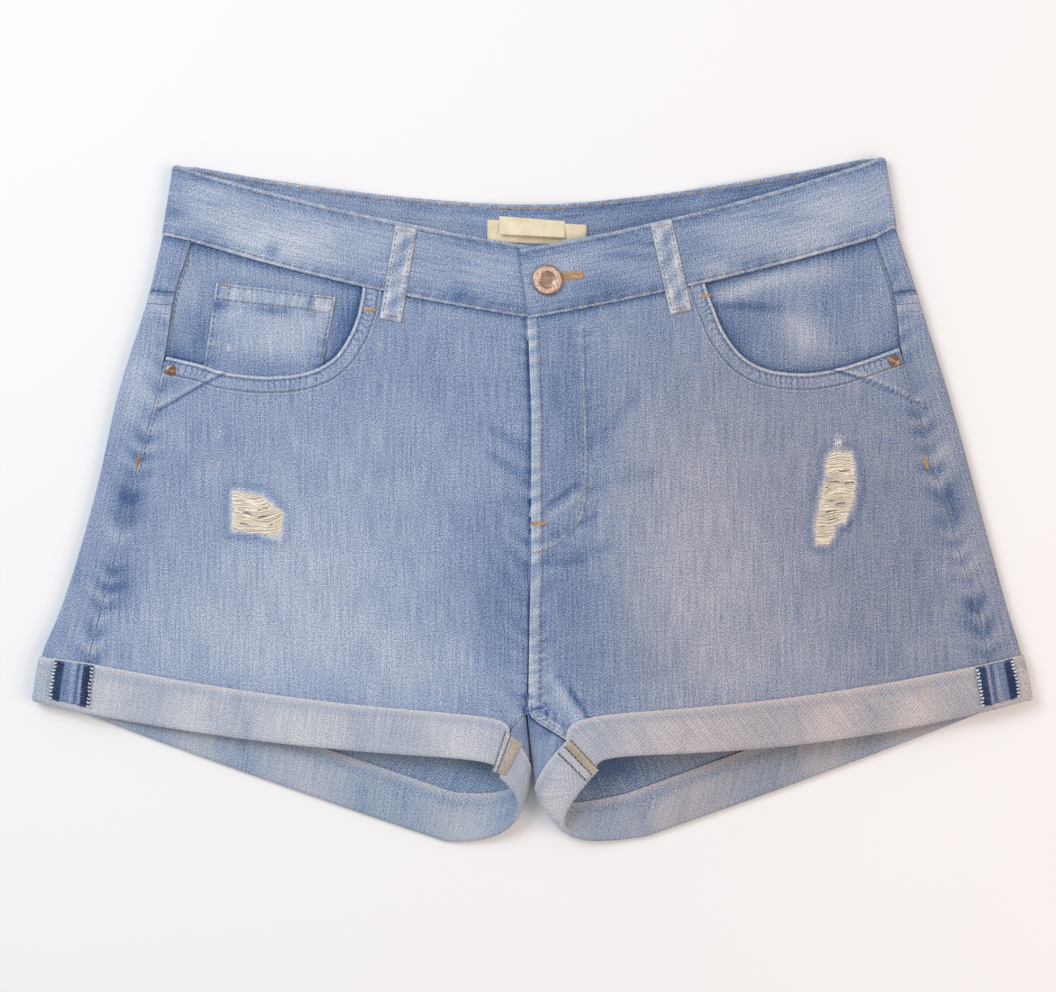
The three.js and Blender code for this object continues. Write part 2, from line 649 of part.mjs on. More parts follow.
// Coin pocket, on the right facing and under the edge of the mouth
const coinCorners = coinPocket.map((p) => [p.x, p.y]);
add("coin_pocket", laidOn([facings.right], coinCorners, 8, 7, coinPocketPly), fadedDenim);

// Button and rivets: turned shapes, seated on the cloth
function turned(profile, x, y, meshes) {
  const geometry = new THREE.LatheGeometry(profile.map((p) => new THREE.Vector2(...p)), 28);
  geometry.rotateX(Math.PI / 2);
  const spread = profile.reduce((most, p) => Math.max(most, p[0]), 0);
  const seats = steps(8).map((t) => {
    const turn = 2 * Math.PI * t;
    return heightOf(x + spread * Math.cos(turn), y + spread * Math.sin(turn), meshes);
  });
  geometry.translate(x, y, Math.max(heightOf(x, y, meshes), ...seats) + seamGap);
  return geometry;
}
const [r, h] = [buttonRadius, buttonHeight];
const buttonProfile = [
  [0, 0], [0.82 * r, 0], [r, 0.35 * h], [r, 0.6 * h], [0.93 * r, 0.92 * h], [0.86 * r, h],
  [0.6 * r, 0.86 * h], [0.54 * r, 0.94 * h], [0.5 * r, 0.8 * h], [0, 0.8 * h],
];
add("button", turned(buttonProfile, button.x, button.y, [waistband]), copper);
const [rivetR, rivetH] = [rivetRadius, rivetHeight];
const rivetProfile = [
  [0, 0], [rivetR, 0], [rivetR, 0.27 * rivetH], [0.8 * rivetR, 0.55 * rivetH],
  [0.45 * rivetR, 0.6 * rivetH], [0.4 * rivetR, rivetH], [0, rivetH],
];
for (const name of ["right", "left"])
  add("rivet_" + name, turned(rivetProfile, ...rivets[name], [fronts[name]]), copper);

// Label: a bare ribbon sewn inside the back of the waistband, and a folded flap over it
const rectangle = ({ left, right, top, bottom }) => [
  [left, top + 1.5], [right, top - 1.5], [right, bottom - 1.5], [left, bottom + 0.5],
];
const belowFront = { from: label.from };
const ribbon = add("label_ribbon", laidOn([waistband], rectangle(label), 10, 3, labelPly, belowFront), cream);
const curl = (u, v) => flap.curl * smooth(0.15, 1, v) * (0.4 + 0.6 * Math.sin(Math.PI * u));
ribbon.updateMatrixWorld(true);
const curled = { from: flap.from, extra: curl };
add("label_flap", laidOn([ribbon, waistband], rectangle(flap), 8, 4, labelPly, curled), cream);

// The origin is under the middle of the whole
const box = new THREE.Box3().setFromObject(part);
const middle = box.getCenter(new THREE.Vector3());
for (const mesh of part.children) mesh.geometry.translate(-middle.x, -middle.y, -box.min.z);

export default part;
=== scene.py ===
import bpy
import numpy as np
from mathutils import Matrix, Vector
from mathutils.bvhtree import BVHTree


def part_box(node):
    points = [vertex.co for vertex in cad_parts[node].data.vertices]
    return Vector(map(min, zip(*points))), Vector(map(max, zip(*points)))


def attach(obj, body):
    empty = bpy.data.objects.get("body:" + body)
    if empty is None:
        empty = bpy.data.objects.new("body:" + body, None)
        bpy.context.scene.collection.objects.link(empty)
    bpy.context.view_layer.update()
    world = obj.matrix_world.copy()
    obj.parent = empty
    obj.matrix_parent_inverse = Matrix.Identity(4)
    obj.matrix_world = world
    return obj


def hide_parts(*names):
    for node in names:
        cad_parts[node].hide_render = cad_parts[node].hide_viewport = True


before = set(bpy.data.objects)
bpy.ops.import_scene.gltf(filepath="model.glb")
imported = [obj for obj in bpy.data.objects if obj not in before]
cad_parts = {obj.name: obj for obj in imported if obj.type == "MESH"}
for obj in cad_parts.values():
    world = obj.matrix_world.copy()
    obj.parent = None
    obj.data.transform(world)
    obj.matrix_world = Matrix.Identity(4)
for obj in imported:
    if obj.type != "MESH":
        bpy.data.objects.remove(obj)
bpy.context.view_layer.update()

# The table, the light and the camera
# The shorts lie on a matt white table under two large soft lamps, a cool one at the upper left and a
# warm one at the right. The camera looks straight down at them.
camera_height = 1.42
camera_over = (-0.0025, 0.0022)


def linear(hex_colour):
    """An sRGB hex colour as linear light, with alpha."""
    parts = [int(hex_colour[i : i + 2], 16) / 255 for i in (1, 3, 5)]
    return [*[c / 12.92 if c <= 0.04045 else ((c + 0.055) / 1.055) ** 2.4 for c in parts], 1]


def add_node(tree, kind, inputs=None, **settings):
    """A shader node with its settings; an input is a value or another node's output."""
    made = tree.nodes.new("ShaderNode" + kind)
    for name, value in settings.items():
        setattr(made, name, value)
    for key, value in (inputs or {}).items():
        if isinstance(value, bpy.types.NodeSocket):
            tree.links.new(value, made.inputs[key])
        else:
            made.inputs[key].default_value = value
    return made


def new_material(name, **surface):
    """A material with one Principled shader, its node tree and that shader."""
    material = bpy.data.materials.new(name)
    material.use_nodes = True
    shader = material.node_tree.nodes["Principled BSDF"]
    for key, value in surface.items():
        shader.inputs[key.replace("_", " ")].default_value = value
    return material, material.node_tree, shader


table_white, _, _ = new_material("matt_white_table", Base_Color=linear("#eaebeb"), Roughness=0.85)
mesh = bpy.data.meshes.new("table_top")
mesh.from_pydata([(-3, -3, 0), (3, -3, 0), (3, 3, 0), (-3, 3, 0)], [], [(0, 1, 2, 3)])
table_top = bpy.data.objects.new("table_top", mesh)
table_top.location.z = -0.0004
table_top.data.materials.append(table_white)
bpy.context.scene.collection.objects.link(table_top)


def soft_lamp(name, place, width, power, hex_colour):
    lamp = bpy.data.lights.new(name, "AREA")
    lamp.size = width
    lamp.energy = power
    lamp.color = linear(hex_colour)[:3]
    holder = bpy.data.objects.new(name, lamp)
    holder.location = place
    holder.rotation_euler = (Vector((0, 0, 0)) - Vector(place)).to_track_quat("-Z", "Y").to_euler()
    bpy.context.scene.collection.objects.link(holder)


soft_lamp("cool_lamp", (-1.1, 0.9, 1.5), 1.0, 24, "#edf4ff")
soft_lamp("warm_lamp", (1.3, -0.2, 1.3), 0.9, 13, "#ffdcc4")
world = bpy.data.worlds.new("white_room")
world.use_nodes = True
world.node_tree.nodes["Background"].inputs["Color"].default_value = linear("#f6f6f7")
world.node_tree.nodes["Background"].inputs["Strength"].default_value = 0.62
bpy.context.scene.world = world
bpy.context.scene.view_settings.view_transform = "Standard"

camera = bpy.data.objects.new("camera", bpy.data.cameras.new("camera"))
camera.data.lens = 85
camera.location = (*camera_over, camera_height)
bpy.context.scene.collection.objects.link(camera)
bpy.context.scene.camera = camera

# The front panels
# Two panels of light-wash stretch denim, each from the centre front to the side seam, with the pocket
# mouth scooped out of its upper outer corner and turned under. They are cut, sewn at the fly and the
# crotch seam, then bleached and abraded on the thighs. All lengths are in millimetres.
denim = 1.2
half_seam = 0.15
# a leg's length from the waist seam (0) to the hem (1), and two levels on it
leg_length = 270
turn_up_top = 0.893
leg_end = 0.955


def table(columns, rows):
    return dict(zip(columns.split(), np.array(rows, float).T))


def rows_of(columns):
    """The rows of a table, each under its columns' names."""
    return [dict(zip(columns, row)) for row in zip(*columns.values())]


top_columns = "at seam_out seam_y fold_out fold_y inner_out inner_y sag bulge lift rise floor back_sag"
back_columns = "at back_out back_y under_out under_y over_out over_y over_lift joined"
halves = {
    "right": {
        "side": -1,
        "top": table(top_columns, [
            [0.0, 193, 147, 209, 150, -3.6, 103, 4, 0, 7.0, 6.0, 0.6, 2],
            [0.12, 203, 115, 217, 116, -4.2, 75, 3, 0, 6.8, 6.0, 0.6, 1],
            [0.245, 208, 82, 227.8, 82, -5, 40, 2, 0, 6.8, 6.0, 0.6, 0],
            [0.335, 213, 58, 235, 58, -5, 12, 1, 0, 6.8, 6.0, 0.6, 0],
            [0.497, 225, 14, 244.7, 14, 0.5, -28, 0, 0, 6.6, 5.8, 0.6, 0],
            [0.664, 236, -31, 256.9, -31, 1.4, -71, -1, 0, 7.6, 5.6, 0.6, 0],
            [0.78, 244, -62, 267, -62, 3.5, -117, -1, 1, 10, 5.6, 0.8, 0],
            [turn_up_top, 251, -92, 277.6, -89, 13, -131, 4.3, 8, 14, 6.2, 1.9, 0],
            [1.0, 254, -120, 282, -114, 18, -156, 4.5, 9, 15.5, 6.2, 1.9, 1.3],
        ]),
        "back": table(back_columns, [
            [0.0, 14, 129, 9, 129, 5, 129, 0.6, 0],
            [0.12, 14, 100, 9, 100, 5, 100, 0.6, 0],
            [0.245, 14, 68, 9, 68, 5, 68, 0.6, 0],
            [0.335, 14, 38, 9, 38, 5, 38, 0.6, 0],
            [0.497, 14, -12, 9, -12, 5, -12, 0.6, 0],
            [0.664, 15, -62, 9, -62, 5, -62, 0.6, 0],
            [0.78, 18, -110, 3.7, -113, 3.6, -116.5, 0.6, 1],
            [turn_up_top, 44, -166, -5, -170, -5.5, -150, 1, 1],
            [1.0, 49, -193.5, 9, -197, -4, -172, 1, 1],
        ]),
    },
    "left": {
        "side": 1,
        "top": table(top_columns, [
            [0.0, 195, 149, 206.6, 154, -2.2, 103, 3, 0, 9.8, 6.0, 0.6, 2],
            [0.12, 206, 115, 219, 116, -1.2, 75, 3, 0, 9.4, 6.0, 0.6, 1],
            [0.245, 209.5, 86, 228.3, 86, 0, 40, 2, 0, 9.0, 6.0, 0.6, 0],
            [0.335, 217, 58, 237, 58, -0.3, 12, 1, 0, 8.8, 6.0, 0.6, 0],
            [0.497, 230, 14, 249.2, 14, -0.3, -28, 0, 0, 8.4, 5.8, 0.6, 0],
            [0.664, 243, -31, 261.3, -31, -1.3, -71, -1, 0, 8.2, 5.6, 0.6, 0],
            [0.78, 253, -62, 269.8, -62, -1.9, -117, 0, 2, 10, 5.6, 0.8, 0],
            [turn_up_top, 259, -92, 277.5, -88, 20, -135, 5, 12, 17, 6.2, 1.9, 0],
            [1.0, 263, -118, 283, -113.3, 36, -153, 7, 9, 19, 6.2, 1.9, 1.3],
        ]),
        "back": table(back_columns, [
            [0.0, 14, 129, 9, 129, 5, 129, 0.6, 0],
            [0.12, 14, 100, 9, 100, 5, 100, 0.6, 0],
            [0.245, 14, 68, 9, 68, 5, 68, 0.6, 0],
            [0.335, 14, 38, 9, 38, 5, 38, 0.6, 0],
            [0.497, 14, -12, 9, -12, 5, -12, 0.6, 0],
            [0.664, 15, -62, 9, -62, 5, -62, 0.6, 0],
            [0.78, 16, -110, -1.7, -113, -1.8, -116.5, 0.6, 1],
            [turn_up_top, 56, -166, -7, -182, -6, -161, 1, 1],
            [1.0, 66, -190.5, 2, -202, 14, -176, 1, 1],
        ]),
    },
}
names = ["right", "left"]
folds = table("from_x from_y to_x to_y height width", [
    [8, -70, 30, -124, 1.6, 9],
    [22, -66, 52, -122, -1.2, 10],
    [-6, -60, -14, -120, 1.2, 10],
    [-60, -60, -120, -112, 1.3, 26],
    [70, -30, 150, -108, 1.4, 30],
    [-190, 40, -60, 20, 1.0, 22],
    [60, 36, 190, 30, 1.0, 22],
    [-210, -20, -150, -60, -0.9, 20],
    [170, -10, 215, -70, -0.9, 18],
])
mouths = {
    "right": np.array([
        [-214, 82.5], [-207, 82], [-188, 77.5], [-173, 73], [-150, 70.7], [-128, 73], [-113, 80.5],
        [-104, 92.5], [-99, 104.5], [-96.4, 116.5], [-95, 131],
    ]),
    "left": np.array([
        [216, 87.5], [208, 86.8], [187, 79.3], [171, 74.7], [155, 72.5], [135.5, 74.2], [121, 81],
        [110, 94], [103.5, 108.5], [98.5, 122], [95, 136],
    ]),
}
back_pocket = np.array([[52, 72], [176, 76], [168, -46], [115, -62], [60, -50]], float)
back_loops = [(-122, 152), (0, 142.5), (122, 153)]
back_loop_length = 48
loop_width = 12.5
stack_step = denim + 0.3


def mix(a, b, t):
    return a + (b - a) * t


def smooth(edge0, edge1, x):
    t = np.clip((x - edge0) / (edge1 - edge0), 0, 1)
    return t * t * (3 - 2 * t)


def bell(away, width):
    """1 on a line or spot, and nearly nothing two widths away from it."""
    return np.exp(-((away / width) ** 2))


def curve_through(at, values):
    """A smooth curve through the values, one that doesn't swing past them."""
    slopes = np.diff(values) / np.diff(at)
    a, b = slopes[:-1], slopes[1:]
    with np.errstate(divide="ignore", invalid="ignore"):
        middle = np.where(a * b <= 0, 0, 2 * a * b / (a + b))
    tangents = np.concatenate([slopes[:1], middle, slopes[-1:]])

    def value(x):
        i = np.clip(np.searchsorted(at, x) - 1, 0, len(at) - 2)
        h = at[i + 1] - at[i]
        t = (x - at[i]) / h
        t2, t3 = t * t, t * t * t
        rise = (2 * t3 - 3 * t2 + 1) * values[i] + (t3 - 2 * t2 + t) * h * tangents[i]
        return rise + (3 * t2 - 2 * t3) * values[i + 1] + (t3 - t2) * h * tangents[i + 1]

    return value


def curves_of(rows):
    return {name: curve_through(rows["at"], rows[name]) for name in rows if name != "at"}


for half in halves.values():
    half["curves"] = {**curves_of(half["top"]), **curves_of(half["back"])}


def fold_height(x, y):
    """Height that the large soft folds add to the top sheet."""
    height = 0
    for f in rows_of(folds):
        dx, dy = f["to_x"] - f["from_x"], f["to_y"] - f["from_y"]
        length = np.hypot(dx, dy)
        along = ((x - f["from_x"]) * dx + (y - f["from_y"]) * dy) / length
        across = ((x - f["from_x"]) * dy - (y - f["from_y"]) * dx) / length
        past = np.maximum(0, np.maximum(-along, along - length))
        height = height + f["height"] * bell(across, f["width"]) * bell(past, 1.5 * f["width"])
    return height


def nearest_on(line, x, y):
    """Distance from points to a line of points in plan, and how far along it the nearest place is."""
    line = np.asarray(line, float)[:, :2]
    step = np.diff(line, axis=0)
    length = np.hypot(*step.T)
    start = np.concatenate([[0], np.cumsum(length)])[:-1]
    shape = np.shape(x)
    px, py = np.ravel(x)[:, None], np.ravel(y)[:, None]
    t = np.clip(((px - line[:-1, 0]) * step[:, 0] + (py - line[:-1, 1]) * step[:, 1]) / length**2, 0, 1)
    away = np.hypot(px - line[:-1, 0] - t * step[:, 0], py - line[:-1, 1] - t * step[:, 1])
    k = away.argmin(1)
    rows = np.arange(len(k))
    return away[rows, k].reshape(shape), (start[k] + t[rows, k] * length[k]).reshape(shape)


def inside(corners, x, y):
    """Whether points are inside a polygon in plan."""
    found = np.zeros(np.shape(x), bool)
    for (ax, ay), (bx, by) in zip(corners, np.roll(corners, -1, axis=0)):
        if ay != by:
            found ^= ((ay > y) != (by > y)) & (x < ax + (y - ay) / (by - ay) * (bx - ax))
    return found


def raised_by(x, y):
    """How far the back sheet is lifted off the table by what lies under it."""
    closed = np.vstack([back_pocket, back_pocket[:1]])
    away = np.where(inside(back_pocket, np.abs(x), y), 0, nearest_on(closed, np.abs(x), y)[0])
    raised = stack_step * (1 - smooth(16, 34, away))
    for loop_x, loop_y in back_loops:
        away = np.hypot(
            np.maximum(np.abs(x - loop_x) - loop_width / 2, 0),
            np.maximum(np.abs(y - loop_y) - back_loop_length / 2, 0),
        )
        raised = np.maximum(raised, stack_step * (1 - smooth(14, 28, away)))
    return raised


def body_point(side, s, around):
    """The garment's middle surface. around runs from the centre front or inseam (0) to the side seam
    (1), round the side edge to the table (2), across the back (3) and up to the centre back (4)."""
    a = np.asarray(around, float)
    x = mix(s["inner_out"], s["seam_out"], a) * side
    y = mix(s["inner_y"], s["seam_y"], a) - s["sag"] * 4 * a * (1 - a)
    y = y + s["bulge"] * np.sin(np.pi * np.clip(a, 0, None) ** 0.3)
    inland = smooth(0, 0.1, a) * smooth(1, 0.88, a)
    eased = (1 - np.cos(np.pi * a)) / 2
    top = [x, y, s["floor"] + mix(s["lift"], s["rise"], eased) + fold_height(x, y) * inland]
    radius, low = s["rise"] / 2, s["floor"]
    fold_x = s["fold_out"] - radius
    t = (a - 1) / 0.3
    strip = [mix(s["seam_out"], fold_x, t), mix(s["seam_y"], s["fold_y"], t), low + s["rise"]]
    turn = np.pi * (a - 1.3) / 0.5
    arc = [fold_x + radius * np.sin(turn), s["fold_y"], low + radius + radius * np.cos(turn)]
    flat_x = fold_x - 10
    slope = (s["fold_y"] - s["back_y"]) / (fold_x - s["back_out"])
    floor_y = s["fold_y"] - 10 * slope * 0.4
    t = (a - 1.8) / 0.2
    edge = [mix(fold_x, flat_x, t), mix(s["fold_y"], floor_y, t), low]
    t = a - 2
    back = [
        mix(flat_x, s["back_out"], t), mix(floor_y, s["back_y"], t) - s["back_sag"] * 4 * t * (1 - t), low
    ]
    t = a - 3
    joined = s["joined"]
    ends = [
        [s["back_out"], s["under_out"], s["over_out"], mix(half_seam, s["inner_out"], joined)],
        [s["back_y"], s["under_y"], s["over_y"], mix(s["back_y"], s["inner_y"], joined)],
        [low, low, low + s["over_lift"] * s["lift"] * joined, low + s["lift"] * joined],
    ]
    weights = [(1 - t) ** 3, 3 * t * (1 - t) ** 2, 3 * t * t * (1 - t), t**3]
    end = [sum(w * p for w, p in zip(weights, row)) for row in ends]
    wheres = [a <= 1, a <= 1.3, a <= 1.8, a <= 2, a <= 3]
    kinds = [strip, arc, edge, back, end]
    shape = np.broadcast_shapes(a.shape, np.shape(s["floor"]))
    under = [
        np.select(wheres[1:], [np.broadcast_to(k[axis], shape) for k in kinds[:-1]], kinds[-1][axis])
        for axis in range(3)
    ]
    under[0] = under[0] * side
    under[2] = under[2] + raised_by(under[0], under[1]) * (1 - smooth(3, 3.6, a) * joined)
    return np.stack([np.where(wheres[0], top[axis], under[axis]) for axis in range(3)], -1)


def body(name):
    half = halves[name]

    def surface(around, down):
        around, down = np.broadcast_arrays(np.asarray(around, float), np.asarray(down, float))
        return body_point(half["side"], {k: c(down) for k, c in half["curves"].items()}, around)

    return surface


bodies = {name: body(name) for name in names}


def outward(surface, side, around, down):
    """The direction square to a surface, away from the wearer."""
    step = 1e-3
    across = surface(around + step, down) - surface(around - step, down)
    along = surface(around, down + step) - surface(around, down - step)
    normal = np.cross(across, along) * -side
    return normal / np.linalg.norm(normal, axis=-1, keepdims=True)


def on_top(name, x, y):
    """Where a point in plan is on the top sheet: how far around and how far down."""
    half, c = halves[name], halves[name]["curves"]
    low, high = np.zeros(np.shape(x)), np.ones(np.shape(x))
    for _ in range(26):
        down = (low + high) / 2
        around = (half["side"] * x - c["inner_out"](down)) / (c["seam_out"](down) - c["inner_out"](down))
        level = mix(c["inner_y"](down), c["seam_y"](down), around)
        level = level - c["sag"](down) * 4 * around * (1 - around)
        level = level + c["bulge"](down) * np.sin(np.pi * np.clip(around, 0, 1) ** 0.3)
        low = np.where(level > y, down, low)
        high = np.where(level > y, high, down)
    return around, down


def stops(start, end, length, spacing=1.7, first=True, last=True):
    """Stops from start to end, about spacing apart along that length, and closer at rolled edges."""
    roll = np.array([0.15, 0.25, 0.45, 0.8, 1.3])
    inner = np.arange(2.4, length - 2.4, spacing)
    distances = np.concatenate([
        roll if first else [0.0, spacing / 2], inner, (length - roll[::-1]) if last else [length],
    ])
    return start + (end - start) * distances / length


def rolled(points, first=True, last=True, top=True, bottom=True):
    """How full the cloth's thickness is at each point of a grid: it rounds off at a turned edge."""
    def to_edges(axis, near, far):
        step = np.linalg.norm(np.diff(points, axis=axis), axis=-1)
        length = np.cumsum(step, axis=axis)
        zero = np.zeros_like(np.take(length, [0], axis=axis))
        along = np.concatenate([zero, length], axis=axis)
        back = np.take(along, [-1], axis=axis) - along
        away = np.full(points.shape[:2], 9.0)
        if near:
            away = np.minimum(away, along)
        if far:
            away = np.minimum(away, back)
        return away

    away = np.minimum(to_edges(0, first, last), to_edges(1, top, bottom))
    return np.sqrt(1 - (1 - np.clip(away / 1.1, 0.02, 1)) ** 2)


def shell(outer, inner, keep=None):
    """A closed wall between two grids of points, or between the cells of them to be kept."""
    rows, columns = outer.shape[:2]
    index = np.arange(rows * columns).reshape(rows, columns)
    quads = np.stack([index[:-1, :-1], index[1:, :-1], index[1:, 1:], index[:-1, 1:]], -1).reshape(-1, 4)
    if keep is not None:
        quads = quads[keep.ravel()]
    edges = np.concatenate([quads[:, [k, (k + 1) % 4]] for k in range(4)])
    _, which, uses = np.unique(np.sort(edges, 1), axis=0, return_inverse=True, return_counts=True)
    rim = edges[uses[which.ravel()] == 1]
    far = rows * columns
    sides = np.stack([rim[:, 1], rim[:, 0], rim[:, 0] + far, rim[:, 1] + far], -1)
    points = np.concatenate([outer.reshape(-1, 3), inner.reshape(-1, 3)])
    return points, np.concatenate([quads, quads[:, ::-1] + far, sides])


# The pattern's origin is the centre front, and the frame's is under the middle of the whole. The loop
# at the centre back shows how far they are apart.
loop_low, loop_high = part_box("belt_loop_centre_back")
shift = np.array([*((loop_low + loop_high) / 2 * 1000)[:2], 0]) - [*back_loops[1], 0]


def make(
    name, points, faces, material, grain=None, wear_and_shade=None, stands_for=(), bare=None, inside=None,
):
    """A piece of the shorts from points in millimetres. grain gives each point its place on the cloth
    in metres, for the weave, wear_and_shade how far its blue is rubbed off, from 0 to 1, with
    painted shade and painted highlights mixed in, and bare where only the white weft is left.
    inside is the material of the inner face, whose points come last. Each point also gets
    painted_warm_light, a painted tint of the right-hand lamp's light."""
    points, faces = np.asarray(points, float), np.asarray(faces)
    inner_face = faces.min(1) >= len(points) / 2
    used, faces_flat = np.unique(faces, return_inverse=True)
    faces = faces_flat.reshape(faces.shape)
    points = points[used]
    a, b, c = (points[faces[:, k]] for k in range(3))
    d = points[faces[:, -1]]
    volume = (a * np.cross(b, c)).sum() + (a * np.cross(c, d)).sum() * (faces.shape[1] == 4)
    if volume < 0:
        faces = faces[:, ::-1]
    mesh = bpy.data.meshes.new(name)
    mesh.from_pydata(((points + shift) / 1000).tolist(), [], faces.tolist())
    mesh.shade_smooth()
    if grain is not None:
        layer = mesh.uv_layers.new(name="grain")
        corner = np.zeros(len(mesh.loops), np.int32)
        mesh.loops.foreach_get("vertex_index", corner)
        layer.data.foreach_set("uv", np.asarray(grain, float)[used][corner].astype(np.float32).ravel())
    # painted lamp light: the cloth towards the lower right is tinted as the right-hand lamp lights it
    painted_warm_light = smooth(-20, 110, points[:, 0]) * smooth(215, 0, points[:, 1])
    for kind, values in (("wear_and_shade", wear_and_shade), ("bare", bare), ("painted_warm_light", painted_warm_light)):
        if values is not None:
            attribute = mesh.attributes.new(kind, "FLOAT", "POINT")
            values = values if kind == "painted_warm_light" else np.asarray(values, float)[used]
            attribute.data.foreach_set("value", values.astype(np.float32))
    mesh.materials.append(material)
    if inside:
        mesh.materials.append(inside)
        mesh.polygons.foreach_set("material_index", inner_face.astype(np.int32))
    made = bpy.data.objects.new(name, mesh)
    bpy.context.scene.collection.objects.link(made)
    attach(made, "root")
    if stands_for:
        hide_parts(*stands_for)
    return made


# Denim is a 3/1 right-hand twill: blue warp threads over white weft, so the ribs slant up to the
# right. The ribs are really 0.9 mm apart and are drawn 1.5 mm apart, as fine as the render shows.
# Streaks of the warp are 1.25 mm apart, those of the weft 1.9 mm, the worn fibres' speckle 0.75 mm,
# coarser than the real 0.4 mm, and the clouds of the wash 30 mm.
def twill(name, stops_of_colour, rib=1.5, slant=63, contrast=0.1, relief=0.16):
    material, tree, shader = new_material(name, Roughness=0.93)
    shader.inputs["Specular IOR Level"].default_value = 0.18
    shader.inputs["Sheen Weight"].default_value = 0.12
    shader.inputs["Sheen Roughness"].default_value = 0.5
    place = add_node(tree, "UVMap", uv_map="grain").outputs["UV"]
    turned = add_node(tree, "Mapping", {"Vector": place, "Rotation": (0, 0, np.radians(slant))})
    ribs = add_node(tree, "TexWave", {
        "Vector": turned.outputs[0], "Scale": 2 * np.pi / (20 * rib / 1000), "Distortion": 1.6,
        "Detail": 2.0, "Detail Scale": 1.5,
    })
    streaked = add_node(tree, "Mapping", {"Vector": place, "Scale": (1, 0.05, 1)})
    warp = add_node(tree, "TexNoise", {"Vector": streaked.outputs[0], "Scale": 800, "Detail": 2.0})
    crossed = add_node(tree, "Mapping", {"Vector": place, "Scale": (0.12, 1, 1)})
    weft = add_node(tree, "TexNoise", {"Vector": crossed.outputs[0], "Scale": 520, "Detail": 2.0})
    speckle = add_node(tree, "TexNoise", {"Vector": place, "Scale": 1350, "Detail": 1.0})
    cloud = add_node(tree, "TexNoise", {"Vector": place, "Scale": 34, "Detail": 4.0, "Roughness": 0.6})
    # the colour value: how far the blue is faded, with painted shade and painted highlights mixed in
    worn_and_shaded = add_node(tree, "Attribute", attribute_name="wear_and_shade").outputs["Fac"]
    total = worn_and_shaded
    for texture, share in ((ribs, contrast), (warp, 0.5), (weft, 0.12), (speckle, 1.5), (cloud, 0.24)):
        part = add_node(tree, "Math", {0: texture.outputs["Fac"], 1: -0.5}, operation="ADD")
        total = add_node(
            tree, "Math", {0: part.outputs[0], 1: share, 2: total}, operation="MULTIPLY_ADD"
        ).outputs[0]
    ramp = add_node(tree, "ValToRGB", {"Fac": total})
    while len(ramp.color_ramp.elements) < len(stops_of_colour):
        ramp.color_ramp.elements.new(0.5)
    for element, (at, hex_colour) in zip(ramp.color_ramp.elements, stops_of_colour):
        element.position = at
        element.color = linear(hex_colour)
    # the bare weft of a rip, in threads across the leg, and painted lamp light that tints the cloth
    # yellower towards the left hem
    bare = add_node(tree, "Attribute", attribute_name="bare").outputs["Fac"]
    ragged = add_node(tree, "Math", {0: speckle.outputs["Fac"], 1: 1.3, 2: bare}, operation="MULTIPLY_ADD")
    torn = add_node(tree, "MapRange", {"Value": ragged.outputs[0], 1: 1.08, 2: 1.2})
    strands = add_node(tree, "ValToRGB", {"Fac": weft.outputs["Fac"]})
    for element, at, hex_colour in zip(strands.color_ramp.elements, (0.35, 0.62), ("#b1afa8", "#e0ddd4")):
        element.position = at
        element.color = linear(hex_colour)
    # painted lamp light: the right-hand lamp's tint, multiplied into the cloth's colour
    painted_warm_light = add_node(tree, "Attribute", attribute_name="painted_warm_light").outputs["Fac"]
    tinted = add_node(tree, "MixRGB", {
        "Fac": painted_warm_light, "Color1": ramp.outputs["Color"], "Color2": linear("#f9ece4"),
    }, blend_type="MULTIPLY")
    worn_through = add_node(tree, "MixRGB", {
        "Fac": torn.outputs[0], "Color1": tinted.outputs["Color"], "Color2": strands.outputs["Color"],
    })
    tree.links.new(worn_through.outputs["Color"], shader.inputs["Base Color"])
    height = add_node(tree, "Math", {0: ribs.outputs["Fac"], 1: 0.6, 2: speckle.outputs["Fac"]},
                      operation="MULTIPLY_ADD")
    bump = add_node(tree, "Bump", {
        "Height": height.outputs[0], "Strength": 0.5, "Distance": relief / 1000,
    })
    tree.links.new(bump.outputs["Normal"], shader.inputs["Normal"])
    return material


washed_denim = twill("washed_twill_right_side", [
    (0.0, "#3a527a"), (0.25, "#61799e"), (0.5, "#8797b1"), (0.75, "#a9b4c5"), (1.0, "#d0d4da"),
])

wrong_side = twill("washed_twill_wrong_side", [
    (0.0, "#4d668e"), (0.25, "#839ab4"), (0.5, "#a5abb6"), (0.75, "#bec1c7"), (1.0, "#dcdcdd"),
], slant=-58, contrast=0.14)

side_seams = {name: bodies[name](1.0, np.linspace(0, 1, 60)) for name in names}
centre_fronts = {name: bodies[name](0.0, np.linspace(0, 1, 80)) for name in names}


def spline(points, count):
    """A smooth line through points, with that many steps between each two."""
    p = np.asarray(points, float)
    p = np.vstack([2 * p[0] - p[1], p, 2 * p[-1] - p[-2]])
    t = np.linspace(0, 1, count, endpoint=False)[:, None]
    parts = [
        0.5 * (2 * b + (c - a) * t + (2 * a - 5 * b + 4 * c - d) * t**2 + (3 * b - a - 3 * c + d) * t**3)
        for a, b, c, d in zip(p[:-3], p[1:-2], p[2:-1], p[3:])
    ]
    return np.vstack(parts + [p[-2:-1]])


def evenly(line, step):
    """The same line with points about that far apart."""
    line = np.asarray(line, float)
    along = np.concatenate([[0], np.cumsum(np.linalg.norm(np.diff(line, axis=0), axis=1))])
    at = np.linspace(0, along[-1], max(2, round(along[-1] / step) + 1))
    return np.stack([np.interp(at, along, line[:, k]) for k in range(line.shape[1])], 1)


mouth_lines = {name: evenly(spline(mouths[name][1:], 12), 1.5) for name in names}
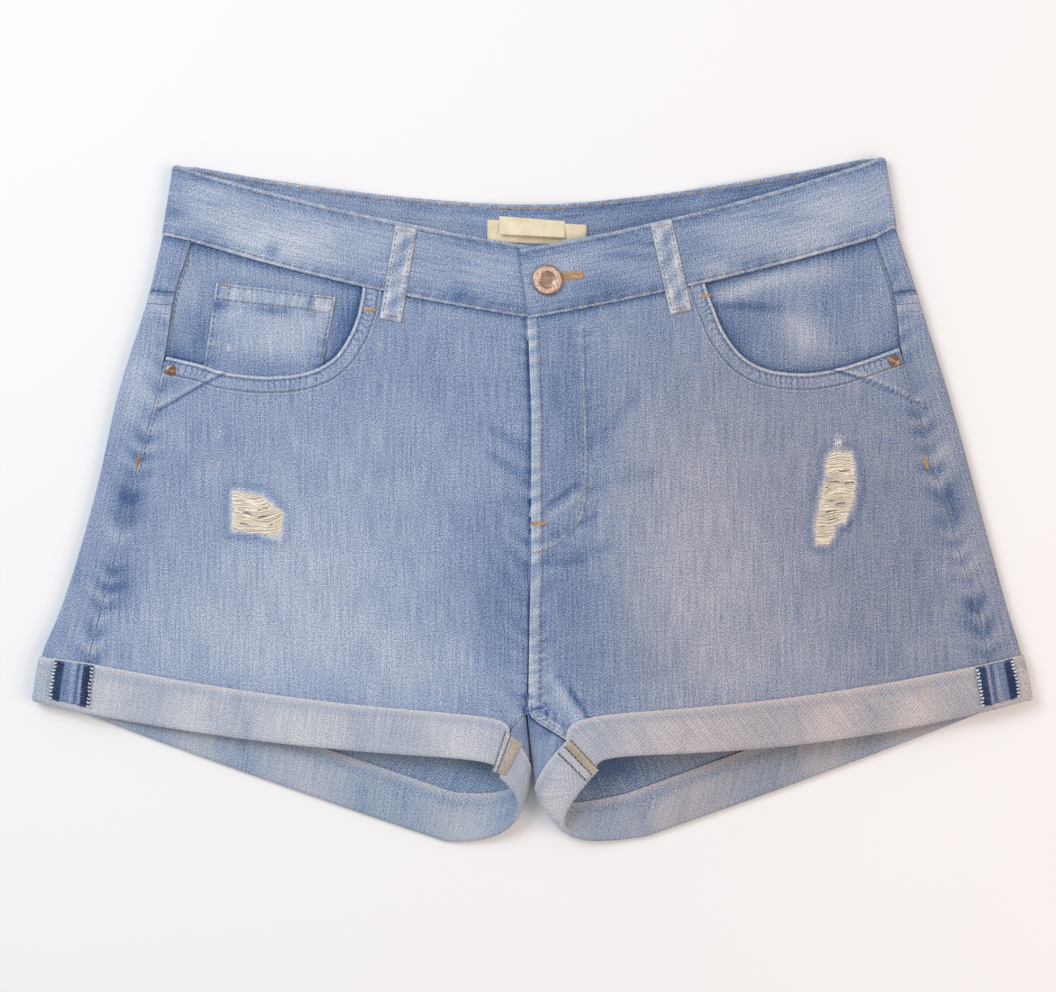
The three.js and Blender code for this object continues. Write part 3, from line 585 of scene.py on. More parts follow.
# The fly's J-shaped row, the two darts below the pockets and the small creases by the crotch
fly_row = spline(
    [
        [29.5, 98], [31, 60], [31.6, 23], [30.5, 0], [28, -11], [22.5, -17], [14.5, -24.5], [5.5, -28.5],
        [-0.5, -29]
    ],
    8
)
darts = {
    "right": spline([[-174, 72.5], [-190, 64], [-212, 51.5]], 6),
    "left": spline([[169, 74.7], [194, 67], [219, 55.5]], 6),
}
creases = table("from_x from_y to_x to_y height width", [
    [-22, 40, -4, 29, -0.35, 3],
    [-23, 26, -4, 12, -0.45, 2.6],
    [-14, 2, -4, -4, -0.35, 2.6],
    [9, -2, 25, 9, -0.6, 1.6],
    [11, -8, 27, 4, 0.4, 1.6],
    [12, -20, 36, -8, -0.4, 2.2],
    [11, -36, 30, -34, -0.3, 2],
    [31, 30, 60, 60, -0.25, 4],
    [32, 8, 70, 16, -0.2, 4],
    [10, -34, 44, -26, -0.25, 3.5],
    [15, -99, 27, -114, -0.4, 2.2],
    [21, -107, 32, -122, -0.75, 1.1],
    [176.5, -16, 181.5, -12, -0.5, 0.9],
    [162, -27.5, 167, -26.5, -0.45, 0.9],
    [-168, -19, -155, -20.5, -0.45, 1.6],
    [-143, -2, -140.5, -13, -0.4, 1.1],
    [-3.8, -109.5, 7.5, -113.5, -0.5, 1.0],
    [-3.8, -117.5, 8.5, -119.5, -0.45, 0.9],
    [8, -114, 21, -133, -0.45, 0.9],
    [11, -100, 27, -127, 0.5, 3.5],
])


def ripple(away, along, pitch, depth, reach, slant=0.5, seed=0.0):
    """Puckers where a seam has shrunk: short ridges across it, which die out away from it."""
    turn = 2 * np.pi * (along + slant * away) / pitch
    uneven = 0.6 + 0.4 * np.sin(0.11 * along + seed) * np.sin(0.047 * along + 2 * seed)
    return depth * uneven * bell(away, reach) * np.sin(turn + 1.3 * np.sin(0.09 * along + seed))


def groove(away, width=0.9, depth=0.3):
    return -depth * bell(away, width)


def relief(x, y):
    """Height in millimetres that seams, puckers and small creases add to the top sheet."""
    height = 0
    for name in names:
        away, along = nearest_on(side_seams[name], x, y)
        middle = smooth(10, 70, along) * (1 - 0.5 * smooth(230, 290, along))
        height = height + (0.25 + 0.75 * middle) * ripple(
            away, along, 13, 0.5, 8, 0.6, 1.0 + (name == "left")
        )
        height = height - 0.25 * bell(away, 1.2)
        height = height + groove(nearest_on(darts[name], x, y)[0], 1.0, 0.4)
    away, along = nearest_on(centre_fronts["left"], x, y)
    on_left = x > np.interp(-y, -centre_fronts["left"][:, 1], centre_fronts["left"][:, 0])
    rib = 5.4
    height = height + on_left * (
        0.45 * (1 - smooth(rib - 1.0, rib + 0.4, away)) + groove(away - 6.3, 0.7, 0.25)
    )
    height = height + ripple(away, along, 7.5, 0.3, 6, 0.3, 0.4) * (1 + 0.4 * on_left)
    beside_seam = smooth(150, 168, along) * smooth(252, 236, along) * on_left
    height = height + beside_seam * ripple(away - 7, along, 5.4, 0.6, 3, 0.5, 1.7)
    height = height + 0.5 * ripple(away, along, 15, 0.5, 16, 0.9, 2.2) * smooth(60, 120, along)
    # the crossing of the fly and the inseams is crinkled by its many plies
    crossing = smooth(-7, -3, x) * smooth(11, 7, x) * smooth(-106, -110, y) * smooth(-128, -122, y)
    crinkle = np.sin(1.9 * x - 1.5 * y) * np.sin(1.4 * y + 1.1 * x + 1)
    height = height + crossing * (0.8 * crinkle - 0.2)
    away_j, along_j = nearest_on(fly_row, x, y)
    height = height + groove(away_j) + 0.5 * ripple(away_j, along_j, 8, 0.35, 6, 0.4, 0.7)
    for c in rows_of(creases):
        middle = [mix(c["from_x"], c["to_x"], 0.5), mix(c["from_y"], c["to_y"], 0.45)]
        line = spline([[c["from_x"], c["from_y"]], middle, [c["to_x"], c["to_y"]]], 5)
        height = height + c["height"] * bell(nearest_on(line, x, y)[0], c["width"])
    return height


# Two rips on the thighs, where the blue warp has gone and the white weft is left, and rubbed spots
rips = {
    "right": np.array(
        [[-168, 4.6], [-153.6, 2.3], [-141.6, -8.6], [-143.4, -19.4], [-153.6, -17.1], [-168.4, -16]]
    ),
    "left": np.array([
        [171, 27], [180, 26.5], [182, 15], [182.3, 9], [181.5, 0], [177, -11.5], [171, -12.5], [170, -19],
        [167, -23.5], [162.5, -23.5], [162, -14], [164, -5], [166, 8], [167, 10.5], [174, 12.5], [168, 15],
        [168, 24],
    ]),
}
rubbed = table("x y wide high amount", [
    [-177.5, 38.8, 4.5, 6, 0.46],
    [-177.5, 20.5, 2.6, 4.2, 0.52],
    [-127.4, -38.8, 1.6, 1.6, 0.55],
    [-126.8, -62, 1.4, 1.6, 0.5],
    [173.6, 33, 4.5, 8, 0.56],
    [-142.5, -23, 3, 6.5, 0.5],
    [-170, 90, 2, 2.2, 0.5],
])


def torn_by(name, x, y):
    """How far inside a rip a point is, in millimetres; outside it is negative."""
    closed = np.vstack([rips[name], rips[name][:1]])
    away = nearest_on(closed, x, y)[0]
    return np.where(inside(rips[name], x, y), away, -away)


# Lighter and darker patches on the top sheet; the dark ones by the side seams, at x about ±230 to ±250, and
# near the crotch, at y about -60 to -85, are painted shade.
worn_and_shaded_places = table("x y wide high amount", [
    [-126, -39, 66, 52, 0.17],
    [-190, 100, 26, 20, 0.08],
    [-160, -80, 60, 34, 0.12],
    [-60, -95, 60, 26, 0.14],
    [-224, 66, 14, 22, 0.22],
    [-100, 30, 80, 40, 0.04],
    [96, -45, 54, 52, 0.18],
    [88, 20, 46, 36, 0.09],
    [120, -92, 60, 24, 0.1],
    [26, -66, 24, 46, -0.14],
    [62, -85, 22, 20, -0.08],
    [248, -34, 12, 26, 0.16],
    [-228, 0, 9, 12, -0.3],
    [-232, -48, 8, 14, -0.25],
    [-236, -20, 9, 9, 0.16],
    [232, 28, 8, 9, 0.18],
    [240, -2, 7, 10, -0.22],
    [249, -62, 6, 9, -0.25],
    [-18, -60, 20, 56, -0.16],
    [22, 50, 20, 60, -0.14],
    [-50, 70, 50, 30, -0.04],
    [205, -30, 34, 60, -0.04],
    [-222, -78, 46, 46, 0.05],
    [-206, -10, 26, 60, 0.0],
    [230, 60, 16, 30, 0.02],
])


def wear_and_shade_at(x, y):
    """How far the blue is rubbed off by the wash on the top sheet, with painted shade and painted
    highlights of its seams, darts and creases mixed in.
    """
    worn_and_shaded = 0.46
    for w in rows_of(worn_and_shaded_places):
        worn_and_shaded = worn_and_shaded + w["amount"] * bell(x - w["x"], w["wide"]) * bell(y - w["y"], w["high"])
    for name in names:
        away, along = nearest_on(side_seams[name], x, y)
        # painted shade in a band beside each side seam, and a painted light line along its ridge
        worn_and_shaded = worn_and_shaded - 0.14 * bell(away, 6) + 0.24 * bell(away, 1.4)
        # each dart has a painted highlight along its upper side and a painted shadow line along it
        above, below_it = nearest_on(
            darts[name] + np.array([0, 1.6]), x, y
        )[0], nearest_on(darts[name], x, y)[0]
        worn_and_shaded = worn_and_shaded + 0.24 * bell(above, 1.3) - 0.3 * bell(below_it, 0.9)
    away = nearest_on(centre_fronts["left"], x, y)[0]
    on_left = x > np.interp(-y, -centre_fronts["left"][:, 1], centre_fronts["left"][:, 0])
    lap_shade = 0.14 * bell(away, 4) + 0.6 * bell(away, 0.8)
    worn_and_shaded = worn_and_shaded + np.where(on_left, 0.2 * bell(away, 1.1), -lap_shade)
    between = nearest_on(fly_row + np.array([-1.3, 0]), x, y)[0]
    worn_and_shaded = worn_and_shaded + 0.16 * bell(between, 1.6)
    # the cloth round a rip is rubbed nearly white
    for name in names:
        from_rip = torn_by(name, x, y) + 0.8
        worn_and_shaded = worn_and_shaded + 0.34 * bell(from_rip, 1.7) - 0.12 * bell(from_rip + 4.5, 2)
    # the relief is painted in too: lighter on its ridges, where the wash rubs and light falls, and painted
    # shade in its grooves and creases
    return worn_and_shaded + 0.42 * relief(x, y)


def bare_at(name, x, y):
    bare = 0.9 * smooth(-1.6, 1.0, torn_by(name, x, y))
    for r in rows_of(rubbed):
        near = bell(x - r["x"], r["wide"]) * bell(y - r["y"], r["high"])
        bare = np.maximum(bare, r["amount"] * near)
    return bare


def tile(*grids):
    return np.concatenate([np.asarray(g).reshape(-1, *np.shape(g)[2:]) for g in grids])


def lengths(points):
    """How far each point of a grid is along its row and down its column, in metres."""
    def summed(axis):
        step = np.linalg.norm(np.diff(points, axis=axis), axis=-1)
        zero = np.zeros_like(np.take(step, [0], axis=axis))
        return np.concatenate([zero, np.cumsum(step, axis=axis)], axis=axis)
    return np.stack([summed(0), -summed(1)], -1) / 1000


def allowance(name, surface, side, arounds, downs, depth):
    """The edges of two plies, overlocked together inside a seam. Little of them shows."""
    around, down = np.meshgrid(arounds, downs, indexing="ij")
    middle = surface(around, down)
    normal = outward(surface, side, around, down)
    points, faces = shell(middle - normal * depth, middle - normal * (depth + 0.5))
    grain = tile(lengths(middle), lengths(middle))
    return make(name, points, faces, washed_denim, grain, np.full(len(points), 0.3))


# the leg runs back fast towards its inseam, so the columns are close there
at_inseam = 0.0007 * (np.arange(6) / 6) ** 3.3
panels = {}
for name in names:
    side, surface = halves[name]["side"], bodies[name]
    around, down = np.meshgrid(
        np.concatenate([at_inseam, stops(0, 1, 208)]), stops(0, leg_end, 262, last=False), indexing="ij"
    )
    middle = surface(around, down)
    x, y = middle[..., 0], middle[..., 1]
    full = rolled(middle, bottom=False)
    sewn_edge = (around > 0.97) | (down < 0.02) | ((around < 0.02) & ((name == "right") | (down > 0.79)))
    full = np.where(sewn_edge, np.maximum(full, 0.75), full) * denim / 2
    normal = outward(surface, side, around, down)
    mouth = mouth_lines[name]
    mouth_area = np.vstack([[[side * 260, mouth[0, 1]]], mouth, [[mouth[-1, 0], 220], [side * 260, 220]]])
    torn = smooth(-0.5, 1.5, torn_by(name, x, y))
    added = relief(x, y) - 0.45 * torn
    outer = middle + normal * full[..., None] + normal * added[..., None]
    inner = middle - normal * full[..., None] + normal * (added * 0.7)[..., None]
    cell = middle[:-1, :-1] / 2 + middle[1:, 1:] / 2
    keep = ~inside(mouth_area, cell[..., 0], cell[..., 1])
    keep &= nearest_on(mouth, cell[..., 0], cell[..., 1])[0] > 4
    keep &= (around[1:, 1:] > at_inseam[-1] * 1.01) | (down[:-1, :-1] > 0.775)
    points, faces = shell(outer, inner, keep)
    # painted shadow of the waistband along the panel's top edge
    wear_and_shade = wear_and_shade_at(x, y) - 0.3 * bell(down * leg_length, 2.6)

    # the turned hem of the pocket mouth, 11 mm wide and held down by two rows of stitches
    hem_width = 11.2
    across = np.array([
        0, 0.12, 0.35, 0.7, 1.2, 1.8, 2.2, 2.6, 3.2, 4, 4.8, 5.6, 6.4, 7.2, 8, 8.8, 9.2, 9.6, 10.3, 10.9,
        hem_width,
    ])
    hem_line = evenly(spline(mouths[name][1:], 40), 0.6)
    run = np.gradient(hem_line, axis=0)
    run /= np.linalg.norm(run, axis=1, keepdims=True)
    inward = np.stack([run[:, 1], -run[:, 0]], 1)
    if inside(mouth_area, *(hem_line[60] + inward[60] * 3)):
        inward = -inward
    plan = hem_line[:, None, :] + inward[:, None, :] * across[None, :, None]
    a, d = on_top(name, plan[..., 0], plan[..., 1])
    a = np.clip(a, 0, 1 - half_seam / 200)
    d = np.clip(d, half_seam / leg_length, 1)
    hem = surface(a, d)
    hem_full = np.sqrt(1 - (1 - np.clip(across / 1.1, 0.02, 1)) ** 2) * denim / 2
    raised = 0.5 * smooth(0, 1.0, across) * (1 - smooth(10.0, hem_width, across))
    raised = raised + groove(across - 2.2, 0.6, 0.35) + groove(across - 9.2, 0.7, 0.4)
    along = np.arange(len(hem_line))[:, None] * 0.6
    # short ridges between the two rows, where the hem has shrunk; their valleys are painted darker as shade
    turn = 2 * np.pi * (along + 0.12 * across) / 3.1 + 1.7 * np.sin(along / 5.3) + 1.1 * np.sin(along / 2.9)
    tick = np.clip(np.sin(turn + 0.9 * np.sin(across * 1.3 + along / 4)), 0, 1) ** 2
    pucker = (0.06 - 0.3 * tick) * smooth(1.6, 2.6, across) * smooth(9.5, 5.0, across)
    pucker = pucker * (0.6 + 0.4 * np.sin(along / 9))
    hem_relief = relief(hem[..., 0], hem[..., 1])
    hem_outer = hem + np.array([0, 0, 1]) * (hem_full + raised + pucker + hem_relief + 0.03)[..., None]
    hem_inner = hem - np.array([0, 0, 1]) * (hem_full * np.ones_like(hem_relief))[..., None]
    hem_points, hem_faces = shell(hem_outer, hem_inner)
    # the hem is painted darker as shade in its pucker valleys and along both rows of stitches, lighter
    # where it is raised, and rubbed lighter at its folded edge
    hem_wear_and_shade = wear_and_shade_at(hem[..., 0], hem[..., 1]) + 1.3 * pucker + 0.3 * (raised - 0.5) + 0.1
    hem_wear_and_shade = hem_wear_and_shade + 0.26 * smooth(2.2, 1.2, across) - 0.22 * bell(across - 2.7, 0.7)
    hem_wear_and_shade = hem_wear_and_shade - 0.2 * bell(across - 9.2, 0.6) - 0.08 * bell(across - 6, 2)
    hem_wear_and_shade = hem_wear_and_shade + 0.12 * bell(across - 10.4, 0.7)
    hem_bare = 0.3 * smooth(2.2, 1.0, across) + 0 * hem_wear_and_shade
    faces = np.concatenate([faces, hem_faces + len(points)])
    # the inner face is painted darker, as shade
    wears = np.concatenate([tile(wear_and_shade, wear_and_shade * 0.8), tile(hem_wear_and_shade, hem_wear_and_shade)])
    bare = np.concatenate([tile(bare_at(name, x, y), 0 * wear_and_shade), tile(hem_bare, hem_bare)])
    grains = np.concatenate(
        [tile(middle[..., :2], middle[..., :2]), tile(hem[..., :2], hem[..., :2])]
    ) / 1000
    points = np.concatenate([points, hem_points])
    edges = [
        allowance(
            "side_seam_allowance_" + name, surface, side, np.array([0.988, 0.994, 1, 1.03, 1.06]),
            np.linspace(0.272, 0.888, 120), 0.1,
        ),
        allowance(
            "crotch_allowance_" + name, surface, side, np.array([-0.006, 0.0, 0.02, 0.035]),
            np.linspace(0.46, 0.8, 70), 0.75,
        ),
    ]
    panels["front_" + name] = make(
        "front_panel_" + name, points, faces, washed_denim, grains, wears,
        ["front_" + name],
        bare,
    )

# The yokes and back panels
# Two shaped yokes and two seat panels of the same denim. Each runs round the side edge to the side
# seam, which lies a little inside the garment's edge on the front, and is joined by flat-felled seams.
yoke_side, yoke_centre = 0.135, 0.235


def yoke_level(around):
    return mix(yoke_side, yoke_centre, smooth(1.8, 3, around))


wrap_stops = np.concatenate([
    stops(1, 1.3, 12, 1.5, last=False)[:-1], np.linspace(1.3, 1.8, 13)[:-1],
    stops(1.8, 3, 215, 3, False, False)[:-1],
    stops(3, 4, 24, 2, first=False),
])
def wrapped(name, around, down):
    """Places on a yoke or seat panel, the direction out of it, what its seams add there, and how much of
    that is the raised band of the yoke seam."""
    middle = bodies[name](around, down)
    normal = outward(bodies[name], halves[name]["side"], around, down)
    from_seam = (down - yoke_level(around)) * leg_length
    felled = 0.35 * (1 - smooth(6.2, 7.2, np.abs(from_seam))) + groove(np.abs(from_seam) - 5.2, 0.7, 0.3)
    # what faces the table stays flat, with its rows of stitches sunk in
    sunk = groove(np.abs(from_seam) - 5.2, 0.7, 0.35)
    sunk = sunk + groove(middle[..., 0] - 1.8, 0.7, 0.35) + groove(middle[..., 0] - 6.8, 0.7, 0.35)
    up = smooth(0.1, 0.7, normal[..., 2])
    added = (
        relief(middle[..., 0], middle[..., 1]) + felled
    ) * up + sunk * smooth(-0.5, -0.9, normal[..., 2])
    return middle, normal, added, felled, sunk


for name in names:
    side, surface = halves[name]["side"], bodies[name]
    for kind, level, length, cut in (
        ("yoke", lambda a, t: t * yoke_level(a), 50, (245, 63, 0.77)),
        ("back", lambda a, t: mix(yoke_level(a), leg_end, t), 230, (305, 270, 0.82)),
    ):
        around, t = np.meshgrid(wrap_stops, stops(0, 1, length, 2.0, last=kind == "yoke"), indexing="ij")
        down = level(around, t)
        middle, normal, added, felled, sunk = wrapped(name, around, down)
        x, y = middle[..., 0], middle[..., 1]
        full = rolled(middle, bottom=kind == "yoke")
        sewn_edge = (around < 1.03) | (np.abs(down - yoke_level(around)) < 0.011) | (down < 0.02)
        sewn_edge |= (around > 3.9) & (down > 0.79)
        full = np.where(sewn_edge, np.maximum(full, 0.8), full) * denim / 2
        outer = middle + normal * (full + added)[..., None]
        inner = middle - normal * full[..., None]
        points, faces = shell(outer, inner)
        top_wear_and_shade = wear_and_shade_at(x, y)
        # the face on the table is rubbed lighter over the seat, with painted shade in its sunk rows of
        # stitches
        seat_wear_and_shade = 0.42 + 0.16 * bell(x * side - 110, 60) * bell(y + 30, 70) + 0.5 * sunk
        above_band = (down - yoke_level(around)) * leg_length + 7.2
        # painted shadow of the waistband along the top edge, a painted highlight on the raised yoke band
        # and a painted shade line along its upper edge
        top_wear_and_shade = top_wear_and_shade + 0.4 * felled - 0.3 * bell(down * leg_length, 2.6)
        top_wear_and_shade = top_wear_and_shade - 0.45 * bell(above_band, 0.9)
        wear_and_shade = np.where(normal[..., 2] > 0, top_wear_and_shade, seat_wear_and_shade)
        # the inner face is painted darker as shade, most inside the left leg's opening
        in_shade = 0.3 * bell(x - 42, 20) * bell(y + 150, 10)
        panels[kind + "_" + name] = make(
            kind + "_panel_" + name, points, faces, washed_denim, tile(lengths(middle), lengths(middle)),
            tile(wear_and_shade, wear_and_shade * 0.8 - 0.12 - in_shade), [kind + "_" + name],
            inside=wrong_side,
        )

# the plies of the centre-back seam, inside it
across, down = np.meshgrid(np.linspace(-5.5, 5.5, 6), np.linspace(0.012, 0.66, 110), indexing="ij")
along_seam = bodies["left"](3.0, down)[..., 1]
seat = np.stack([across, along_seam, 0.6 + raised_by(across, along_seam) + denim / 2 + 0.1], -1)
points, faces = shell(seat + [0, 0, 0.5], seat)
make(
    "centre_back_seam_allowance", points, faces, washed_denim, tile(lengths(seat), lengths(seat)),
    np.full(len(points), 0.25),
)

# The pocket facings
# Each mouth shows a facing of the same denim, sewn to the pocket bag. The wearer's right one carries a
# small coin pocket, with a turned hem at its top.
facing_inner, facing_low = 0.44, 0.31
facing_wear = {"right": 0.4, "left": 0.37}
# Lighter and darker patches on each facing. On the left one, the dark band at y 110.5 and the light band
# above it are the painted shadow and painted highlight of a fold.
patch_columns = "x y wide high slope amount"
facing_patches = {
    "right": table(patch_columns, [
        [-196, 118, 9, 12, 0.8, 0.14],
        [-150, 128, 50, 6, -0.18, 0.14],
        [-188, 90, 4, 12, 0, -0.16],
        [-106, 100, 7, 12, 1.0, -0.2],
        [-200, 84, 10, 6, 0, -0.1],
    ]),
    "left": table(patch_columns, [
        [118, 119, 22, 5, 0.35, 0.26],
        [150, 128, 30, 7, 0.15, 0.24],
        [154, 98, 14, 15, -0.4, 0.32],
        [120, 110.5, 26, 2.6, -0.06, -0.3],
        [114, 98, 10, 10, 0, -0.12],
        [188, 100, 14, 18, 0, 0.1],
        [200, 122, 6, 14, 0, 0.1],
    ]),
}
for name in names:
    side = halves[name]["side"]

    def below(around, down, name=name):
        drop = 1.95 + (0.95 * smooth(0, 0.05, down) * smooth(1, 0.93, around) if name == "right" else 0)
        point = bodies[name](around, down)
        return point - np.stack([0 * point[..., 0], 0 * point[..., 0], drop + 0 * point[..., 0]], -1)

    around, down = np.meshgrid(
        stops(facing_inner, 1.05, 122, 1.9), stops(-0.009, facing_low, 82, 1.9), indexing="ij"
    )
    middle = below(around, down)
    x, y = middle[..., 0], middle[..., 1]
    full = rolled(middle) * denim / 2
    slack = 0.35 * np.sin(x / 9 + y / 14) * np.sin(x / 23 - y / 11) * smooth(
        0, 12, nearest_on(mouth_lines[name], x, y)[0]
    )
    outer = middle + np.array([0, 0, 1]) * (full + 0.3 * slack)[..., None]
    inner = middle - np.array([0, 0, 1]) * full[..., None]
    points, faces = shell(outer, inner)
    to_mouth = nearest_on(mouth_lines[name], x, y)[0]
    shaded = 0.14 * bell(to_mouth, 5) + 0.3 * bell(to_mouth, 1.3)
    shaded = shaded + 0.3 * bell(down * leg_length, 3.5)
    light = np.zeros_like(x)
    for p in rows_of(facing_patches[name]):
        sloped = y - p["y"] - p["slope"] * (x - p["x"])
        light = light + p["amount"] * bell(x - p["x"], p["wide"]) * bell(sloped, p["high"])
    wear_and_shade = facing_wear[name] - shaded + light + 0.1 * slack
    panels["facing_" + name] = make(
        "pocket_facing_panel_" + name, points, faces, washed_denim,
        tile(middle[..., :2], middle[..., :2]) / 1000,
        tile(wear_and_shade, wear_and_shade), ["pocket_facing_" + name],
    )

# The turn-ups
# Each leg's end is folded up twice on itself, so the band round the hem shows the twill's wrong side,
# which is grey white because the white weft lies on top there.
turn_up_ply = 1.0
turn_up_floor = 0.968


def closed_grid(points):
    """Faces of a grid of points that is closed both ways."""
    rows, columns = points.shape[:2]
    index = np.arange(rows * columns).reshape(rows, columns)
    right, below_it = np.roll(index, -1, 0), np.roll(index, -1, 1)
    return np.stack([index, right, np.roll(right, -1, 1), below_it], -1).reshape(-1, 4)


inner_gap = denim / 2 + 0.3
outer_gap = inner_gap + turn_up_ply
half_turn = np.linspace(0, np.pi, 7)
top_curl = []
for t in half_turn:
    level = turn_up_top - 0.5 * turn_up_ply * np.sin(t) / leg_length
    top_curl.append((level, mix(inner_gap, outer_gap, (1 - np.cos(t)) / 2)))
hem_curl = [(1 - 0.012 * (1 - np.sin(t)), outer_gap * np.cos(t)) for t in np.linspace(0, np.pi, 13)]
profile = (
    top_curl
    + [(u, outer_gap) for u in np.linspace(turn_up_top, 0.988, 18)[1:-1]]
    + hem_curl
    + [(u, -outer_gap) for u in np.linspace(0.988, turn_up_top, 18)[1:-1]]
    + [(u, -o) for u, o in top_curl[::-1]]
    + [(u, -inner_gap) for u in np.linspace(turn_up_top, turn_up_floor, 8)[1:]]
    + [(u, inner_gap) for u in np.linspace(turn_up_floor, turn_up_top, 8)[:-1]]
)
ring_stops = np.concatenate([at_inseam, [0.0007, 0.0025], np.linspace(0, 1, 150)[1:-1], wrap_stops[:-1]])


def cuff_swell(name, middle, normal, level):
    """How far the turn-up stands off the leg, with soft dents, and thicker over the side seam."""
    x, y = middle[..., 0], middle[..., 1]
    dents = 0.4 * np.sin(x / 11 + 1.3 * np.sin(x / 31)) * smooth(turn_up_top, 0.95, level)
    dents = dents - 0.5 * bell(x + 137 + 40 * (level - 0.95), 2.2) * smooth(0.93, 0.985, level)
    dents = dents - 0.4 * bell(x - 87 + 60 * (level - 0.95), 3) * smooth(0.92, 0.97, level)
    for at, wide in ((-163, 3), (-99, 5), (63, 5), (150, 2)):
        dents = dents - 0.45 * bell(x - at - 50 * (level - 0.95), wide) * smooth(0.9, 0.93, level)
    thick = 0.8 * np.exp(-((nearest_on(side_seams[name], x, y)[0] / 13) ** 6))
    return dents, (0.8 * dents + thick) * smooth(0.1, 0.7, normal[..., 2])


for name in names:
    side, surface = halves[name]["side"], bodies[name]
    levels, offsets = np.array(profile).T
    around, level = np.meshgrid(ring_stops, levels, indexing="ij")
    middle = surface(around, level)
    normal = outward(surface, side, around, level)
    normal[0] = normal[0] + outward(surface, side, np.full_like(levels, 4.0), levels)
    normal /= np.linalg.norm(normal, axis=-1, keepdims=True)
    points = middle + normal * offsets[None, :, None]
    dents, swell = cuff_swell(name, middle, normal, level)
    points = points + normal * (swell * (offsets > 0.8))[..., None]
    length = lengths(middle)[..., 0]
    drop = (level - turn_up_top) * leg_length / 1000
    grain = np.stack([length, np.where(offsets > 0, drop, -drop) + 0 * length], -1)
    from_top = (level - turn_up_top) * leg_length
    # painted shade in the dents and painted highlight on the swells between them; the top fold is rubbed
    # lighter with a darker band below it, and the inner ply is darker
    wear_and_shade = 0.585 + 0.24 * dents + 0.14 * bell(from_top, 1.6) - 0.1 * bell(from_top - 5, 2.5)
    wear_and_shade = wear_and_shade - 0.17 * (offsets < 0)
    panels["turn_up_" + name] = make(
        "turn_up_band_" + name, points.reshape(-1, 3), closed_grid(points), wrong_side,
        grain.reshape(-1, 2), wear_and_shade.ravel(), ["turn_up_" + name],
    )

# The waistband
# One straight strip of denim, folded along its top edge and topstitched all round. It runs from the
# button end, under the fly, round the back to the buttonhole end, which laps over it.
band_wall = 2.2
band_floor = band_wall / 2
button_end = {"reach": 0.105, "slope": 0.2, "lower": 0.4}
band_columns = top_columns + " back_y"
band_tops = {
    "right": [1, 189, 186.4, 202.7, 190.5, -3.6, 143.9, 3, 0, 6.5, 5.5, band_floor, 3, 168.7],
    "left": [1, 188, 191.5, 199.9, 195, -7.2, 142.5, 4, 0, 9.3, 5.5, band_floor, 3, 168.7],
}


def band_surface(name):
    half = halves[name]
    low = {k: half["top"][k][0] for k in half["top"]} | {k: half["back"][k][0] for k in half["back"]}
    extra = band_floor - low["floor"]
    low.update(lift=low["lift"] - extra, rise=low["rise"] - extra, floor=band_floor)
    high = dict(zip(band_columns.split(), band_tops[name]))

    def surface(around, up):
        s = {k: mix(low[k], high.get(k, low[k]), up) for k in low}
        s["under_y"] = s["over_y"] = s["back_y"]
        point = body_point(half["side"], s, np.maximum(around, 0))
        past = np.maximum(-around, 0)
        run = past * (s["seam_out"] - s["inner_out"])
        lowered = button_end["lower"] * smooth(0, button_end["reach"] / 2, past)
        return point + np.stack([-run * half["side"], run * button_end["slope"], -lowered], -1)

    return surface


band_sides = {name: band_surface(name) for name in names}


def band(around, up):
    around, up = np.broadcast_arrays(np.asarray(around, float), np.asarray(up, float))
    first = around <= 4
    right = band_sides["right"](np.where(first, around, 0.5), up)
    left = band_sides["left"](np.where(first, 0.5, 8 - around), up)
    return np.where(first[..., None], right, left)


half_stops = np.concatenate([
    stops(0, 1, 195, 1.7, False, False)[:-1], np.linspace(1, 1.3, 9)[:-1], np.linspace(1.3, 1.8, 13)[:-1],
    stops(1.8, 3, 190, 2.4, False, False)[:-1], np.linspace(3, 4, 10),
])
band_stops = np.concatenate([
    -button_end["reach"] + stops(0, button_end["reach"], 20.5, 1.7, last=False)[:-1],
    half_stops, (8 - half_stops[::-1])[1:-5], 8 - stops(0, 0.03, 6, 1.7)[::-1],
])
band_stops = np.unique(np.round(band_stops, 7))
around, up = np.meshgrid(band_stops, stops(0, 1, 40.5, 1.6), indexing="ij")
middle = band(around, up)
step = 1e-3
across = band(around + step, up) - band(around - step, up)
rising = band(around, up + step) - band(around, up - step)
band_normal = np.cross(across, rising)
band_normal /= np.linalg.norm(band_normal, axis=-1, keepdims=True)
if band_normal[60, 10, 2] < 0:
    band_normal = -band_normal
edge_full = rolled(middle)
full = edge_full * band_wall / 2
row_up = (1 - np.abs(2 * up - 1)) * 40.5 / 2
stitch_inset = 2.6
seam_line = groove(row_up - stitch_inset, 0.8, 0.28)
length_along = lengths(middle)[..., 0] * 1000
puffed = 0.16 * np.sin(2 * np.pi * (length_along + 0.7 * row_up) / 9) * bell(row_up, 6)
slub = 0.25 * np.sin(
    length_along / 14 + 1.7 * np.sin(length_along / 37)
) * np.sin(up * 5 + length_along / 50)
outer = middle + band_normal * (full + seam_line + puffed + 0.5 * slub)[..., None]
outer[..., 2] = np.maximum(outer[..., 2], 0)
inner = middle - band_normal * (full + seam_line + 0.6 * puffed)[..., None]
points, faces = shell(outer, inner)
